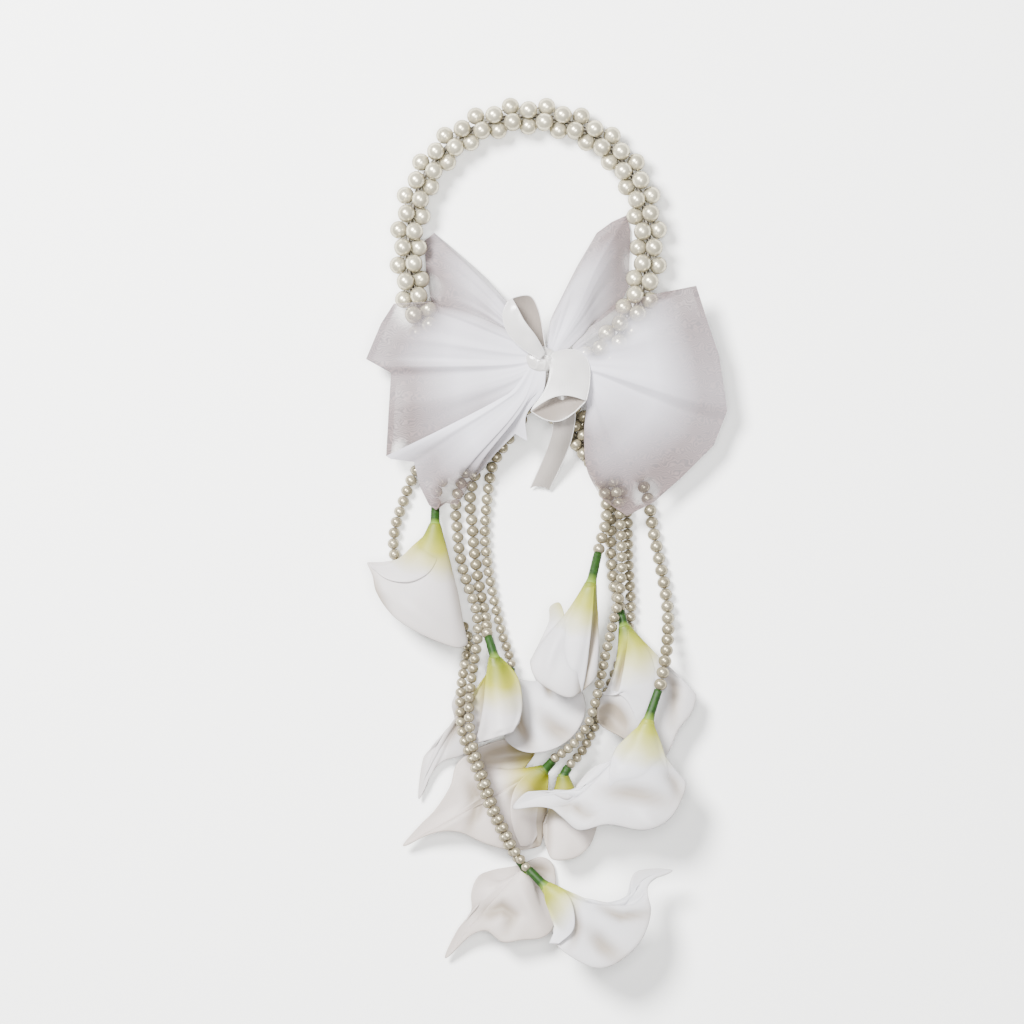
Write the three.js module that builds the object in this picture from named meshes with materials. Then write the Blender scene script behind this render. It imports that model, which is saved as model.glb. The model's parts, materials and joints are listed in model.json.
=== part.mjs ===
// Wrist corsage: a rigid hoop of twisted pearl rope that slips over the hand, an organza bow tied to
// it with satin ribbon, and ten pearl strands that each end in a green stem and a calla lily.
// Millimetres. X runs across the corsage, Y along its length, Z away from the surface it lies on.
import * as THREE from "three";

// The corsage is drawn lying flat on a square board. Every place and outline below is counted in
// places of that board: x to the right, y down from the upper edge, z up from the surface.
const BOARD_SIDE = 455.1;
const BOARD_PLACE_SHARE = 1 / 1024;

// Pearl rope of the hoop
const ROPE_PEARL_DIAMETER = 7.8;
const ROPE_PEARL_GAP = 0.3;
const ROPE_STRINGS = 3;
const ROPE_LAYERS_A_TURN = 6;
const ROPE_LAYER_PITCH = 7.1;
const CORE_WIRE_DIAMETER = 2.4;

// Pearl strands
const STRAND_PEARL_DIAMETER = 5.1;
const SMALL_PEARL_DIAMETER = 3.9;
const STRAND_PEARL_GAP = 0.15;
const THREAD_DIAMETER = 1.0;

// Binding, knot and ribbon
const BINDING_WALL = 0.9;
const BINDING_LENGTH = 32;
const BINDING_PLAY = 0.7;
const BINDING_REST_FLAT = 0.55;
const KNOT_HEIGHT = 8.4;
const RIBBON_THICKNESS = 0.8;
const ORGANZA_THICKNESS = 1.2;

// Lilies
const SPATHE_THICKNESS = 0.9;
const NECK_DIAMETER = 5.4;
const STEM_DIAMETER = 4.4;
const SPADIX_DIAMETER = 2.8;
const SPADIX_LENGTH = 15;

const SEAT_GAP = 0.3;

// Facets
const ROPE_SIDES = 5;
const STRAND_SIDES = 5;
const TUBE_SIDES = 8;
const WIRE_STEPS = 54;
const BINDING_SIDES = 20;

// The rope's centreline, from the top of the hoop and clockwise as seen from above
const ropeShares = [
  [528.5, 115, 19.6], [589, 131, 19.7], [633, 176, 20], [648.5, 236, 20.4], [645, 280, 20.8],
  [633, 312, 21.2], [614, 341, 21.7], [594, 361, 22.1], [571, 371.5, 22.3], [535, 372, 22.3],
  [495, 372, 22.3], [466, 365, 22.1], [441, 347, 21.8], [421, 319, 21.4], [411, 283, 20.9],
  [408.5, 236, 20.4], [424, 176, 20], [468, 131, 19.7],
];
const bindingShares = [535, 372, 22.3];
const knotShares = { centreShares: [545, 358, 52.9], halfWidthShare: 15, halfLengthShare: 13 };

// Each strand's route from the binding to its last pearl, and the share of the way from the large
// to the small pearl size that its pearls have at the binding and at the lily.
const strandShares = {
  lily_1: {
    sizes: [0, 0.2],
    route: [[512, 394.4, 30], [508, 402, 32], [488, 425, 26], [466, 450, 20], [447, 474, 14],
      [437, 490, 12], [435, 503, 12]],
  },
  lily_2: {
    sizes: [0, 0.3],
    route: [[525, 394.4, 30], [521, 403, 32], [503, 427, 26], [486, 452, 18], [474, 477, 10],
      [470, 501, 6.5], [472, 525, 6.5], [474, 550, 6.5], [477, 574, 6.5], [481, 597, 7],
      [484, 611, 10], [486, 622, 18], [487, 633, 30]],
  },
  lily_3: {
    sizes: [0, 0.1],
    route: [[538, 394.4, 30], [541, 403, 32], [561, 427, 28], [582, 452, 23], [599, 477, 19],
      [606, 500, 18.5], [606, 521, 18.5], [602, 538, 19], [599, 549, 20]],
  },
  lily_4: {
    sizes: [0, 0.3],
    route: [[545, 392.2, 10], [548, 401, 8], [566, 428, 6.5], [586, 456, 6.5], [602, 482, 6.5],
      [610, 505, 6.5], [611, 530, 6.5], [611, 550, 6.5], [612, 567, 6.5], [614, 585, 7],
      [617, 597, 10], [620, 607, 15]],
  },
  lily_5: {
    sizes: [0, -0.2],
    route: [[564, 394.4, 30], [570, 403, 32], [592, 425, 26], [618, 452, 16], [640, 478, 7.5],
      [649, 502, 6.5], [653, 527, 6.5], [658, 552, 6.5], [663, 576, 6.5], [667, 600, 8],
      [668.5, 623, 16], [667, 646, 30], [664, 665, 41], [660, 684, 47]],
  },
  lily_6: {
    sizes: [0, 1],
    route: [[551, 394.4, 30], [555, 403, 32], [577, 428, 28], [597, 454, 23], [612, 479, 19],
      [619, 503, 18.5], [621, 530, 18.5], [622, 569, 18.5], [620, 592, 21], [612, 627, 31],
      [605, 656, 39], [600, 680, 46], [595, 702, 48], [588, 723, 46], [577, 740, 40],
      [565, 751, 32], [555, 758, 26]],
  },
  lily_7: {
    sizes: [0, 1],
    route: [[558, 392.2, 10], [563, 401, 8], [586, 428, 6.5], [606, 456, 6.5], [620, 484, 6.5],
      [627, 512, 6.5], [628, 540, 6.5], [629, 570, 6.5], [631, 596, 6.5], [631, 616, 6.5],
      [624, 650, 5.5], [612, 682, 5.5], [602, 706, 5.5], [596, 725, 7], [588, 742, 12],
      [579, 756, 18], [571, 764, 22]],
  },
  lily_8: {
    sizes: [0, 1],
    route: [[519, 392.2, 10], [516, 401, 8], [498, 425, 6.5], [478, 452, 6.5], [462, 480, 6.5],
      [455.5, 506, 6.5], [457, 530, 6.5], [459, 550, 7], [463, 570, 9], [469, 589, 14],
      [476, 610, 20], [478, 633, 25], [475, 656, 30], [471, 682, 39], [469, 710, 44],
      [471, 736, 46], [477, 758, 47], [483, 775, 47], [489, 792, 48], [496, 811, 49],
      [505, 829, 49], [512, 844, 48], [519, 856, 47], [526, 866, 46]],
  },
  lily_9: {
    sizes: [0, 1],
    route: [[506, 392.2, 10], [500, 400, 8], [474, 420, 6.5], [446, 441, 6.5], [424, 459, 6.5],
      [411, 480, 6.5], [402, 504, 6.5], [395, 526, 6.5], [393, 545, 6.5], [397, 566, 6.5],
      [406, 585, 6.5], [421, 600, 6.5], [438, 609, 6.5], [454, 617, 6.5], [465, 630, 8],
      [468, 646, 14], [465, 663, 20], [461, 688, 31], [460, 712, 35], [463, 736, 36],
      [471, 757, 37], [478, 775, 38], [484, 792, 39], [491, 811, 40], [500, 829, 40],
      [506, 842, 38], [512, 851, 34], [517, 858, 29]],
  },
  lily_10: {
    sizes: [0, 1],
    route: [[532, 392.2, 10], [530, 401, 8], [518, 425, 6.5], [504, 445, 6.5], [493, 464, 6.5],
      [488.5, 487, 6.5], [486, 510, 6.5], [485, 535, 6.5], [487, 560, 6.5], [491, 585, 6.5],
      [496, 609, 6.5], [502, 634, 7], [508, 652, 10], [511, 664, 14]],
  },
};

// Each lily: the neck where the green ends, the belly as centre, half width and half depth, and
// the rim as angle round the flower and place. Angle 0 lies to the left of the flower's axis as
// seen along it from above, 90 faces up and 270 faces the surface.
const lilyShares = {
  lily_1: {
    neckShares: [435, 524, 24],
    belly: { centreShares: [431, 568, 32], halfWidthShare: 25, halfDepthShare: 14 },
    rimShares: [[0, 468, 643, 34], [30, 460, 648, 44], [60, 441, 643, 49], [90, 415, 631, 50],
      [120, 391, 614, 48], [145, 376, 592, 44], [165, 372, 575, 38], [180, 367, 562, 33],
      [198, 380, 571, 26], [225, 393, 590, 18], [270, 425, 618, 15], [315, 452, 634, 20]],
  },
  lily_2: {
    neckShares: [495, 658, 44],
    belly: { centreShares: [500, 693, 39], halfWidthShare: 19, halfDepthShare: 12 },
    rimShares: [[0, 520, 721, 50], [45, 511, 730, 60], [90, 497, 736, 62], [118, 485, 741, 50],
      [135, 480, 742, 34], [152, 463, 754, 17], [168, 442, 763, 12], [180, 418, 801, 8],
      [190, 426, 757, 8], [205, 438, 740, 7], [225, 451, 722, 7], [240, 453, 704, 9],
      [275, 486, 716, 22], [320, 511, 712, 40]],
  },
  lily_3: {
    neckShares: [591, 583, 38],
    belly: { centreShares: [574, 634, 52], halfWidthShare: 21, halfDepthShare: 14 },
    rimShares: [[0, 588, 672, 58], [35, 583, 690, 66], [75, 570, 697, 70], [110, 551, 690, 70],
      [145, 536, 679, 66], [170, 530, 664, 60], [192, 538, 645, 50], [206, 549, 620, 44],
      [216, 550, 606, 42], [226, 559, 602, 42], [240, 565, 620, 42], [275, 567, 668, 44],
      [320, 584, 670, 46]],
  },
  lily_4: {
    neckShares: [624, 626, 23],
    belly: { centreShares: [641, 675, 26], halfWidthShare: 30, halfDepthShare: 9 },
    rimShares: [[0, 697, 694, 26], [22, 692, 713, 31], [45, 679, 729, 34], [72, 664, 757, 35],
      [100, 640, 748, 35], [128, 619, 736, 35], [150, 600, 724, 34], [172, 597, 708, 30],
      [190, 603, 696, 26], [215, 616, 702, 19], [255, 640, 735, 15], [290, 664, 740, 15],
      [330, 686, 705, 18]],
  },
  lily_5: {
    neckShares: [648, 719, 50],
    belly: { centreShares: [644, 760, 55], halfWidthShare: 28, halfDepthShare: 14 },
    rimShares: [[0, 686, 781, 56], [28, 680, 801, 64], [55, 666, 819, 68], [85, 644, 829, 70],
      [115, 605, 823, 69], [135, 578, 829, 65], [152, 563, 817, 59], [166, 549, 805, 54],
      [180, 515, 807, 46], [192, 528, 794, 46], [202, 552, 793, 48], [214, 576, 798, 48],
      [228, 578, 782, 46], [246, 602, 765, 44], [275, 640, 795, 42], [320, 672, 785, 46]],
  },
  lily_6: {
    neckShares: [545, 770, 20],
    belly: { centreShares: [503, 796, 17], halfWidthShare: 28, halfDepthShare: 11 },
    rimShares: [[0, 529, 847, 16], [30, 505, 849, 24], [52, 483, 843, 29], [72, 462, 833, 30],
      [88, 443, 832, 26], [98, 421, 838, 20], [106, 402, 847, 12], [114, 418, 827, 14],
      [128, 434, 811, 17], [152, 450, 786, 19], [180, 457, 765, 14], [215, 475, 757, 8],
      [270, 480, 792, 2], [320, 505, 828, 3]],
  },
  lily_7: {
    neckShares: [563, 776, 20],
    belly: { centreShares: [569, 812, 18], halfWidthShare: 20, halfDepthShare: 11 },
    rimShares: [[0, 598, 823, 20], [32, 591, 844, 28], [60, 579, 856, 33], [90, 565, 860, 35],
      [120, 551, 859, 34], [150, 545, 847, 28], [180, 546, 825, 20], [225, 552, 835, 8],
      [270, 568, 848, 3], [320, 588, 838, 8]],
  },
  lily_8: {
    neckShares: [545, 885, 51],
    belly: { centreShares: [582, 916, 56], halfWidthShare: 21, halfDepthShare: 13 },
    rimShares: [[0, 620, 909, 53], [12, 630, 892, 50], [20, 636, 874, 48], [28, 673, 869, 46],
      [38, 653, 879, 52], [52, 651, 906, 60], [78, 641, 938, 67], [105, 615, 962, 70],
      [130, 597, 966, 69], [155, 573, 955, 66], [176, 552, 942, 60], [200, 552, 925, 52],
      [232, 572, 932, 45], [275, 602, 940, 43], [325, 616, 924, 46]],
  },
  lily_9: {
    neckShares: [527, 872, 20],
    belly: { centreShares: [516, 898, 18], halfWidthShare: 27, halfDepthShare: 11 },
    rimShares: [[0, 553, 929, 20], [35, 542, 937, 29], [70, 522, 939, 34], [100, 503, 941, 34],
      [122, 487, 930, 29], [138, 470, 937, 20], [150, 444, 960, 9], [162, 462, 926, 13],
      [176, 471, 912, 17], [192, 471, 894, 17], [212, 478, 877, 13], [240, 492, 875, 8],
      [275, 508, 905, 3], [325, 540, 918, 6]],
  },
  lily_10: {
    neckShares: [511, 682, 16],
    belly: { centreShares: [536, 706, 16], halfWidthShare: 28, halfDepthShare: 11 },
    rimShares: [[0, 552, 664, 16], [35, 578, 684, 27], [62, 586, 706, 33], [92, 577, 731, 37],
      [122, 555, 748, 38], [150, 535, 752, 37], [172, 516, 748, 34], [190, 504, 737, 20],
      [215, 516, 726, 8], [270, 552, 722, 3], [325, 570, 686, 6]],
  },
};

// The two loops of the satin ribbon, drawn as the lilies are
const ribbonLoopShares = {
  ribbon_loop_upper: {
    neckShares: [541.5, 345, 57.4], neckDiameterShare: 8,
    belly: { centreShares: [529, 322, 64], halfWidthShare: 12, halfDepthShare: 9 },
    rimShares: [[0, 503, 306, 60], [45, 508, 301, 70], [90, 519, 311, 76], [135, 529, 321, 72],
      [180, 539, 317, 64], [225, 534, 305, 56], [270, 524, 297, 53], [315, 508, 299, 54]],
  },
  ribbon_loop_lower: {
    neckShares: [552.7, 369.6, 56.4], neckDiameterShare: 9,
    belly: { centreShares: [560, 393, 64], halfWidthShare: 18, halfDepthShare: 8 },
    rimShares: [[0, 584, 400, 66], [45, 574, 401, 72], [90, 556, 400, 75], [135, 539, 405, 71],
      [180, 528, 417, 64], [225, 539, 424, 58], [270, 553, 424, 56], [315, 572, 416, 59]],
  },
};

// Each organza panel: the line where the knot gathers it, its free outline in order, how far its
// middle stands above a flat sheet, and its pleats as their number and half height.
const panelShares = {
  organza_left_loop: {
    gatherShares: [[528, 348, 55], [528, 361, 55]], crownShare: 8, pleatShares: [4, 1.6],
    outlineShares: [[482, 318, 48], [430, 301, 46], [394, 305, 42], [381, 324, 36], [366, 359, 30],
      [391, 374, 32], [389, 404, 30], [386, 456, 27], [420, 441, 32], [460, 421, 40],
      [497, 403, 47]],
  },
  organza_left_tail: {
    gatherShares: [[524, 369, 50], [534, 377, 51]], crownShare: 2, pleatShares: [3, 1.4],
    outlineShares: [[440, 425, 24], [414, 462, 18], [420, 487, 22], [429, 505, 26], [436, 510, 27],
      [457, 505, 26], [476, 477, 28], [496, 453, 34], [515, 436, 42], [526, 440, 46]],
  },
  organza_upper_left_tail: {
    gatherShares: [[526.8, 345.4, 49.2], [536.8, 347.4, 51.2]], crownShare: 2, pleatShares: [2, 1.4],
    outlineShares: [[455, 322, 18], [437, 300, 8], [432, 270, 6], [428, 239, 5], [434, 232, 5],
      [462, 254, 7], [486, 278, 13], [504, 302, 24]],
  },
  organza_upper_right_loop: {
    gatherShares: [[553, 346.8, 51.2], [561, 350.6, 49.2]], crownShare: 2, pleatShares: [2, 1.4],
    outlineShares: [[553, 312, 38], [577, 266, 14], [597, 232, 8], [626, 214, 5], [631, 230, 4],
      [629, 260, 5], [619, 284, 7], [602, 306, 14], [588, 320, 24]],
  },
  organza_right_loop: {
    gatherShares: [[560.6, 352, 52], [575, 372, 46]], crownShare: 6, pleatShares: [5, 1.8],
    outlineShares: [[613, 306, 50], [662, 293, 46], [696, 286, 40], [708, 324, 38], [719, 356, 36],
      [725, 396, 34], [727, 411, 32], [714, 445, 30], [682, 477, 30], [654, 502, 29],
      [627, 516, 29], [602, 499, 32], [588, 478, 33], [584, 450, 36]],
  },
};

// The loose ribbon end as its left and right edge, from the knot to the notched tip
const ribbonTailShares = {
  leftShares: [[549, 375, 47.5], [552, 400, 46], [552, 424, 42], [551, 437, 34], [544, 457, 18],
    [530, 489, 4]],
  rightShares: [[563, 378, 47.5], [571, 400, 46], [574, 414, 43], [574, 428, 38], [569, 450, 24],
    [548, 490, 4]],
};
const TAIL_NOTCH_SHARE = 0.16;

const lengthOf = (places) => places * BOARD_PLACE_SHARE * BOARD_SIDE;
const place = ([x, y, z]) => new THREE.Vector3(lengthOf(x), -lengthOf(y), lengthOf(z));
const UP = new THREE.Vector3(0, 0, 1);

// A closed surface over a list of rings with the same number of points. The rings turn
// anticlockwise as seen against their travel. The two ends are closed by fans of triangles or, for
// long thin rings, by strips, or they are joined to each other.
function skin(rings, ends = "fans") {
  const count = rings[0].length;
  const points = rings.flat();
  const index = [];
  const joins = ends === "joined" ? rings.length : rings.length - 1;
  for (let ring = 0; ring < joins; ring++) {
    const here = ring * count;
    const there = ((ring + 1) % rings.length) * count;
    for (let i = 0; i < count; i++) {
      const next = (i + 1) % count;
      index.push(here + i, here + next, there + next, here + i, there + next, there + i);
    }
  }
  const last = (rings.length - 1) * count;
  if (ends === "strips") {
    for (let i = 0; i + 1 < count / 2; i++) {
      const far = count - 1 - i;
      index.push(far, far - 1, i + 1, far, i + 1, i);
      index.push(last + i, last + i + 1, last + far - 1, last + i, last + far - 1, last + far);
    }
  }
  if (ends === "fans") {
    const middles = [rings[0], rings.at(-1)].map(middleOf);
    const first = points.push(...middles) - 2;
    for (let i = 0; i < count; i++) {
      const next = (i + 1) % count;
      index.push(first, next, i, first + 1, last + i, last + next);
    }
  }
  return geometryOf(points, index);
}

function middleOf(points) {
  const sum = new THREE.Vector3();
  points.forEach((point) => sum.add(point));
  return sum.divideScalar(points.length);
}

function geometryOf(points, index) {
  const geometry = new THREE.BufferGeometry().setFromPoints(points);
  geometry.setIndex(index);
  geometry.computeVertexNormals();
  return geometry;
}

// A ring of points round centre, square to travel, with its first point towards side
function ringAt(centre, travel, side, radius, sides) {
  const along = travel.clone().normalize();
  const first = side.clone().addScaledVector(along, -side.dot(along)).normalize();
  const second = along.clone().cross(first);
  return Array.from({ length: sides }, (_, i) => {
    const angle = (2 * Math.PI * i) / sides;
    return centre.clone()
      .addScaledVector(first, radius * Math.cos(angle))
      .addScaledVector(second, radius * Math.sin(angle));
  });
}

function closedCurve(shares) {
  const curve = new THREE.CatmullRomCurve3(shares.map(place), true, "centripetal");
  curve.arcLengthDivisions = 900;
  return curve;
}

// One string of the hoop's rope: pearls on a closed thread that winds about the core wire. Each
// pearl is a barrel of two rings, and the thread between two pearls is a narrow ring.
function ropeString(curve, number) {
  const radius = ROPE_PEARL_DIAMETER / 2;
  const turns = Math.floor(curve.getLength() / (ROPE_LAYER_PITCH * ROPE_LAYERS_A_TURN));
  const layers = turns * ROPE_LAYERS_A_TURN;
  const centres = [];
  const outward = [];
  for (let layer = 0; layer < layers; layer++) {
    const share = layer / layers;
    const along = curve.getTangentAt(share);
    const inPlane = along.clone().cross(UP).normalize();
    const square = inPlane.clone().cross(along).normalize();
    const angle = 2 * Math.PI * (layer / ROPE_LAYERS_A_TURN + number / ROPE_STRINGS);
    const out = inPlane.multiplyScalar(Math.cos(angle)).addScaledVector(square, Math.sin(angle));
    outward.push(out);
    centres.push(curve.getPointAt(share).addScaledVector(out, ropeHelixRadius()));
  }
  const rings = [];
  centres.forEach((centre, i) => {
    const before = centres.at(i - 1);
    const after = centres[(i + 1) % layers];
    const travel = after.clone().sub(before).normalize();
    for (const step of [-0.5, 0.5]) {
      const middle = centre.clone().addScaledVector(travel, step * radius);
      rings.push(ringAt(middle, travel, outward[i], radius * Math.cos(Math.PI / 9), ROPE_SIDES));
    }
    const between = centre.clone().add(after).multiplyScalar(0.5);
    const side = outward[i].clone().add(outward[(i + 1) % layers]);
    const thread = THREAD_DIAMETER / 2;
    rings.push(ringAt(between, after.clone().sub(centre), side, thread, ROPE_SIDES));
  });
  return skin(rings, "joined");
}

// The strings' distance from the core wire: three pearls of a layer stand just clear of each other
function ropeHelixRadius() {
  return (ROPE_PEARL_DIAMETER + ROPE_PEARL_GAP) / (2 * Math.sin(Math.PI / ROPE_STRINGS));
}

function ropeRadius() {
  return ropeHelixRadius() + ROPE_PEARL_DIAMETER / 2;
}

function coreWire(curve) {
  const rings = [];
  for (let step = 0; step < WIRE_STEPS; step++) {
    const share = step / WIRE_STEPS;
    const along = curve.getTangentAt(share);
    rings.push(ringAt(curve.getPointAt(share), along, UP, CORE_WIRE_DIAMETER / 2, ROPE_SIDES));
  }
  return skin(rings, "joined");
}

// The ribbon binding: a sleeve round the straight foot of the hoop, pressed flat where it rests
function binding() {
  const centre = place(bindingShares);
  const bore = ropeRadius() + BINDING_PLAY;
  const outer = bore + BINDING_WALL;
  const floor = centre.z - outer + BINDING_REST_FLAT;
  const along = new THREE.Vector3(1, 0, 0);
  const ringOf = (step, radius) => {
    const middle = centre.clone().addScaledVector(along, step * BINDING_LENGTH);
    const ring = ringAt(middle, along, UP, radius, BINDING_SIDES);
    ring.forEach((point) => { point.z = Math.max(point.z, floor); });
    return ring;
  };
  const ends = [-0.5, 0.5];
  return skin([...ends.map((end) => ringOf(end, outer)),
    ...ends.toReversed().map((end) => ringOf(end, bore))], "joined");
}

// A pearl strand along its route: a double cone for each pearl, with thread between them. The last
// pearl's centre is the route's last point, where the lily's stem turns.
function strand({ route, sizes }) {
  const curve = new THREE.CatmullRomCurve3(route.map(place), false, "centripetal");
  curve.arcLengthDivisions = 900;
  const length = curve.getLength();
  const diameterAt = (share) => THREE.MathUtils.lerp(
    STRAND_PEARL_DIAMETER, SMALL_PEARL_DIAMETER, THREE.MathUtils.lerp(...sizes, share));
  const ends = [diameterAt(0), diameterAt(1)];
  const meanPitch = (ends[0] + ends[1]) / 2 + STRAND_PEARL_GAP;
  const count = Math.round(length / meanPitch + 1 / 2);
  const pitches = Array.from({ length: count }, (_, i) => diameterAt(i / (count - 1)) + STRAND_PEARL_GAP);
  pitches[0] /= 2;
  const total = pitches.reduce((sum, pitch) => sum + pitch, 0);
  const stretch = length / total;
  const pearls = [];
  let travelled = 0;
  for (const [i, pitch] of pitches.entries()) {
    travelled += pitch * stretch;
    pearls.push({ at: Math.min(travelled / length, 1), radius: diameterAt(i / (count - 1)) / 2 });
  }
  const thread = THREAD_DIAMETER / 2;
  let side = UP.clone();
  const ring = (share, radius, forward = 0) => {
    const along = curve.getTangentAt(share);
    side.addScaledVector(along, -side.dot(along)).normalize();
    const centre = curve.getPointAt(share).addScaledVector(along, forward);
    return ringAt(centre, along, side, radius, STRAND_SIDES);
  };
  const rings = [ring(0, thread)];
  pearls.forEach(({ at, radius }, i) => {
    rings.push(ring(at, radius));
    if (i < count - 1) rings.push(ring((at + pearls[i + 1].at) / 2, thread));
  });
  rings.push(ring(1, thread, pearls.at(-1).radius));
  return skin(rings);
}

function lastPearl({ route, sizes }) {
  const share = sizes.at(-1);
  const diameter = THREE.MathUtils.lerp(STRAND_PEARL_DIAMETER, SMALL_PEARL_DIAMETER, share);
  return { centre: place(route.at(-1)), radius: diameter / 2 };
}

// A flower's or a ribbon loop's own directions: along its axis, to its side and up
function axesOf(flower) {
  const neck = place(flower.neckShares);
  const along = place(flower.belly.centreShares).sub(neck).normalize();
  const side = UP.clone().cross(along).normalize();
  return { neck, along, side, up: along.clone().cross(side) };
}

// The open funnel of a spathe or a ribbon loop: every line from the neck to the rim is a curve
// that leaves along the axis, swells over the belly and flares to its point of the rim.
function funnelPoints(flower, neckDiameter, steps) {
  const { neck, along, side, up } = axesOf(flower);
  const rim = new THREE.CatmullRomCurve3(
    flower.rimShares.map(([, ...at]) => place(at)), true, "centripetal");
  const belly = place(flower.belly.centreShares);
  const halfWidth = lengthOf(flower.belly.halfWidthShare);
  const halfDepth = lengthOf(flower.belly.halfDepthShare);
  const reach = belly.distanceTo(neck);
  const lines = [];
  flower.rimShares.forEach(([degrees], i) => {
    const next = i + 1 < flower.rimShares.length ? flower.rimShares[i + 1][0] : 360;
    const parts = next - degrees > 30 ? 2 : 1;
    for (let part = 0; part < parts; part++) {
      const angle = THREE.MathUtils.degToRad(degrees + ((next - degrees) * part) / parts);
      const across = (width, depth) => side.clone().multiplyScalar(width * Math.cos(angle))
        .addScaledVector(up, depth * Math.sin(angle));
      const start = neck.clone().add(across(neckDiameter / 2, neckDiameter / 2));
      const shoulder = neck.clone().addScaledVector(along, reach / 2)
        .add(across((neckDiameter + halfWidth) / 3, (neckDiameter + halfDepth) / 3));
      const swell = belly.clone().add(across(halfWidth, halfDepth));
      const end = rim.getPoint((i + part / parts) / flower.rimShares.length);
      lines.push(new THREE.CubicBezierCurve3(start, shoulder, swell, end));
    }
  });
  return steps.map((step) => lines.map((line) => line.getPoint(step)));
}

function normalOn(rings, ring, i) {
  const count = rings[0].length;
  const round = rings[ring][(i + 1) % count].clone().sub(rings[ring][(i + count - 1) % count]);
  const onward = rings[Math.min(ring + 1, rings.length - 1)][i].clone()
    .sub(rings[Math.max(ring - 1, 0)][i]);
  return round.cross(onward).normalize();
}

function funnel(flower, neckDiameter, thickness) {
  const outer = funnelPoints(flower, neckDiameter, [0, 0.16, 0.34, 0.54, 0.72, 0.87, 1]);
  const inner = outer.map((ring, r) => ring.map((point, i) =>
    point.clone().addScaledVector(normalOn(outer, r, i), -thickness)));
  return skin([...outer, ...inner.slice(1).toReversed()]);
}

// The stem runs from the strand's last pearl to the neck of the spathe
function stem(flower, pearl) {
  const neck = place(flower.neckShares);
  const along = neck.clone().sub(pearl.centre).normalize();
  const { along: out } = axesOf(flower);
  const start = pearl.centre.clone().addScaledVector(along, pearl.radius + SEAT_GAP);
  const end = neck.clone().addScaledVector(out, -SEAT_GAP);
  const radius = STEM_DIAMETER / 2;
  const bend = start.clone().add(end).multiplyScalar(0.5);
  return skin([
    ringAt(start, along, UP, radius, TUBE_SIDES),
    ringAt(bend, along.clone().add(out), UP, radius, TUBE_SIDES),
    ringAt(end, out, UP, radius, TUBE_SIDES),
  ]);
}

// The spadix stands on the floor of the funnel
function spadix(flower) {
  const { along, side } = axesOf(flower);
  const foot = middleOf(funnelPoints(flower, NECK_DIAMETER, [0.16])[0])
    .addScaledVector(along, SEAT_GAP);
  const radius = SPADIX_DIAMETER / 2;
  const profileShares = [[0, 0.25], [0.25, 0.85], [0.8, 0.85], [1, 0.3]];
  return skin(profileShares.map(([height, width]) => ringAt(
    foot.clone().addScaledVector(along, height * SPADIX_LENGTH), along, side,
    width * radius, TUBE_SIDES)));
}

// A closed sheet over a grid of points, rows of the same length, with the given upright thickness
function sheet(rows, thickness) {
  const across = rows[0].at(-1).clone().sub(rows[0][0]);
  const along = middleOf(rows.at(-1)).sub(middleOf(rows[0]));
  const facing = Math.sign(across.cross(along).z);
  const offset = (amount) => rows.map((row) =>
    row.map((point) => point.clone().addScaledVector(UP, facing * amount)));
  const front = offset(thickness / 2);
  const back = offset(-thickness / 2);
  return skin(front.map((row, r) => [...row, ...back[r].toReversed()]), "strips");
}

// An organza panel fans out from its gather to its outline, crowned and pleated between them
function panel({ gatherShares, outlineShares, crownShare, pleatShares }) {
  const [from, to] = gatherShares.map(place);
  const edge = outlineShares.map(place);
  const [folds, height] = pleatShares;
  const stepShares = [0, 0.3, 0.62, 1];
  const rows = stepShares.map((step) => edge.map((point, i) => {
    const share = i / (edge.length - 1);
    const start = from.clone().lerp(to, share);
    const at = start.lerp(point, step);
    const swell = Math.sin(Math.PI * step);
    at.z += lengthOf(crownShare * swell);
    at.z += lengthOf(height * Math.sin(2 * Math.PI * folds * share) * Math.sin(Math.PI * step * 0.8));
    return at;
  }));
  return sheet(rows, ORGANZA_THICKNESS);
}

function ribbonTail({ leftShares, rightShares }) {
  const rows = leftShares.map((at, i) => {
    const edges = [place(at), place(rightShares[i])];
    const middle = edges[0].clone().lerp(edges[1], 0.5);
    if (i === leftShares.length - 1) {
      const [before, beside] = [leftShares[i - 1], rightShares[i - 1]].map(place);
      middle.lerp(before.lerp(beside, 0.5), TAIL_NOTCH_SHARE);
    }
    return [edges[0], middle, edges[1]];
  });
  return sheet(rows, RIBBON_THICKNESS);
}

// The knot: a soft lump in front of the binding
function knot() {
  const { centreShares, halfWidthShare, halfLengthShare } = knotShares;
  const geometry = new THREE.SphereGeometry(1, 12, 8);
  geometry.rotateX(Math.PI / 2);
  geometry.scale(lengthOf(halfWidthShare), lengthOf(halfLengthShare), KNOT_HEIGHT / 2);
  geometry.translate(...place(centreShares));
  return geometry;
}

const finishes = {
  pearl: { color: 0xe9e4da, roughness: 0.28, metalness: 0.05 },
  steel: { color: 0xb8b5ae, roughness: 0.4, metalness: 0.9 },
  organza: { color: 0xf0ecec, roughness: 0.6, metalness: 0 },
  satin: { color: 0xeceaea, roughness: 0.35, metalness: 0 },
  petal: { color: 0xf1f0f0, roughness: 0.55, metalness: 0 },
  stem: { color: 0x2d7030, roughness: 0.5, metalness: 0 },
  spadix: { color: 0xe3c23c, roughness: 0.8, metalness: 0 },
};
const materials = Object.fromEntries(Object.entries(finishes).map(([name, finish]) =>
  [name, new THREE.MeshStandardMaterial({ name, ...finish })]));

const corsage = new THREE.Group();
function add(name, geometry, finish) {
  const mesh = new THREE.Mesh(geometry, materials[finish]);
  mesh.name = name;
  corsage.add(mesh);
}

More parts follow.
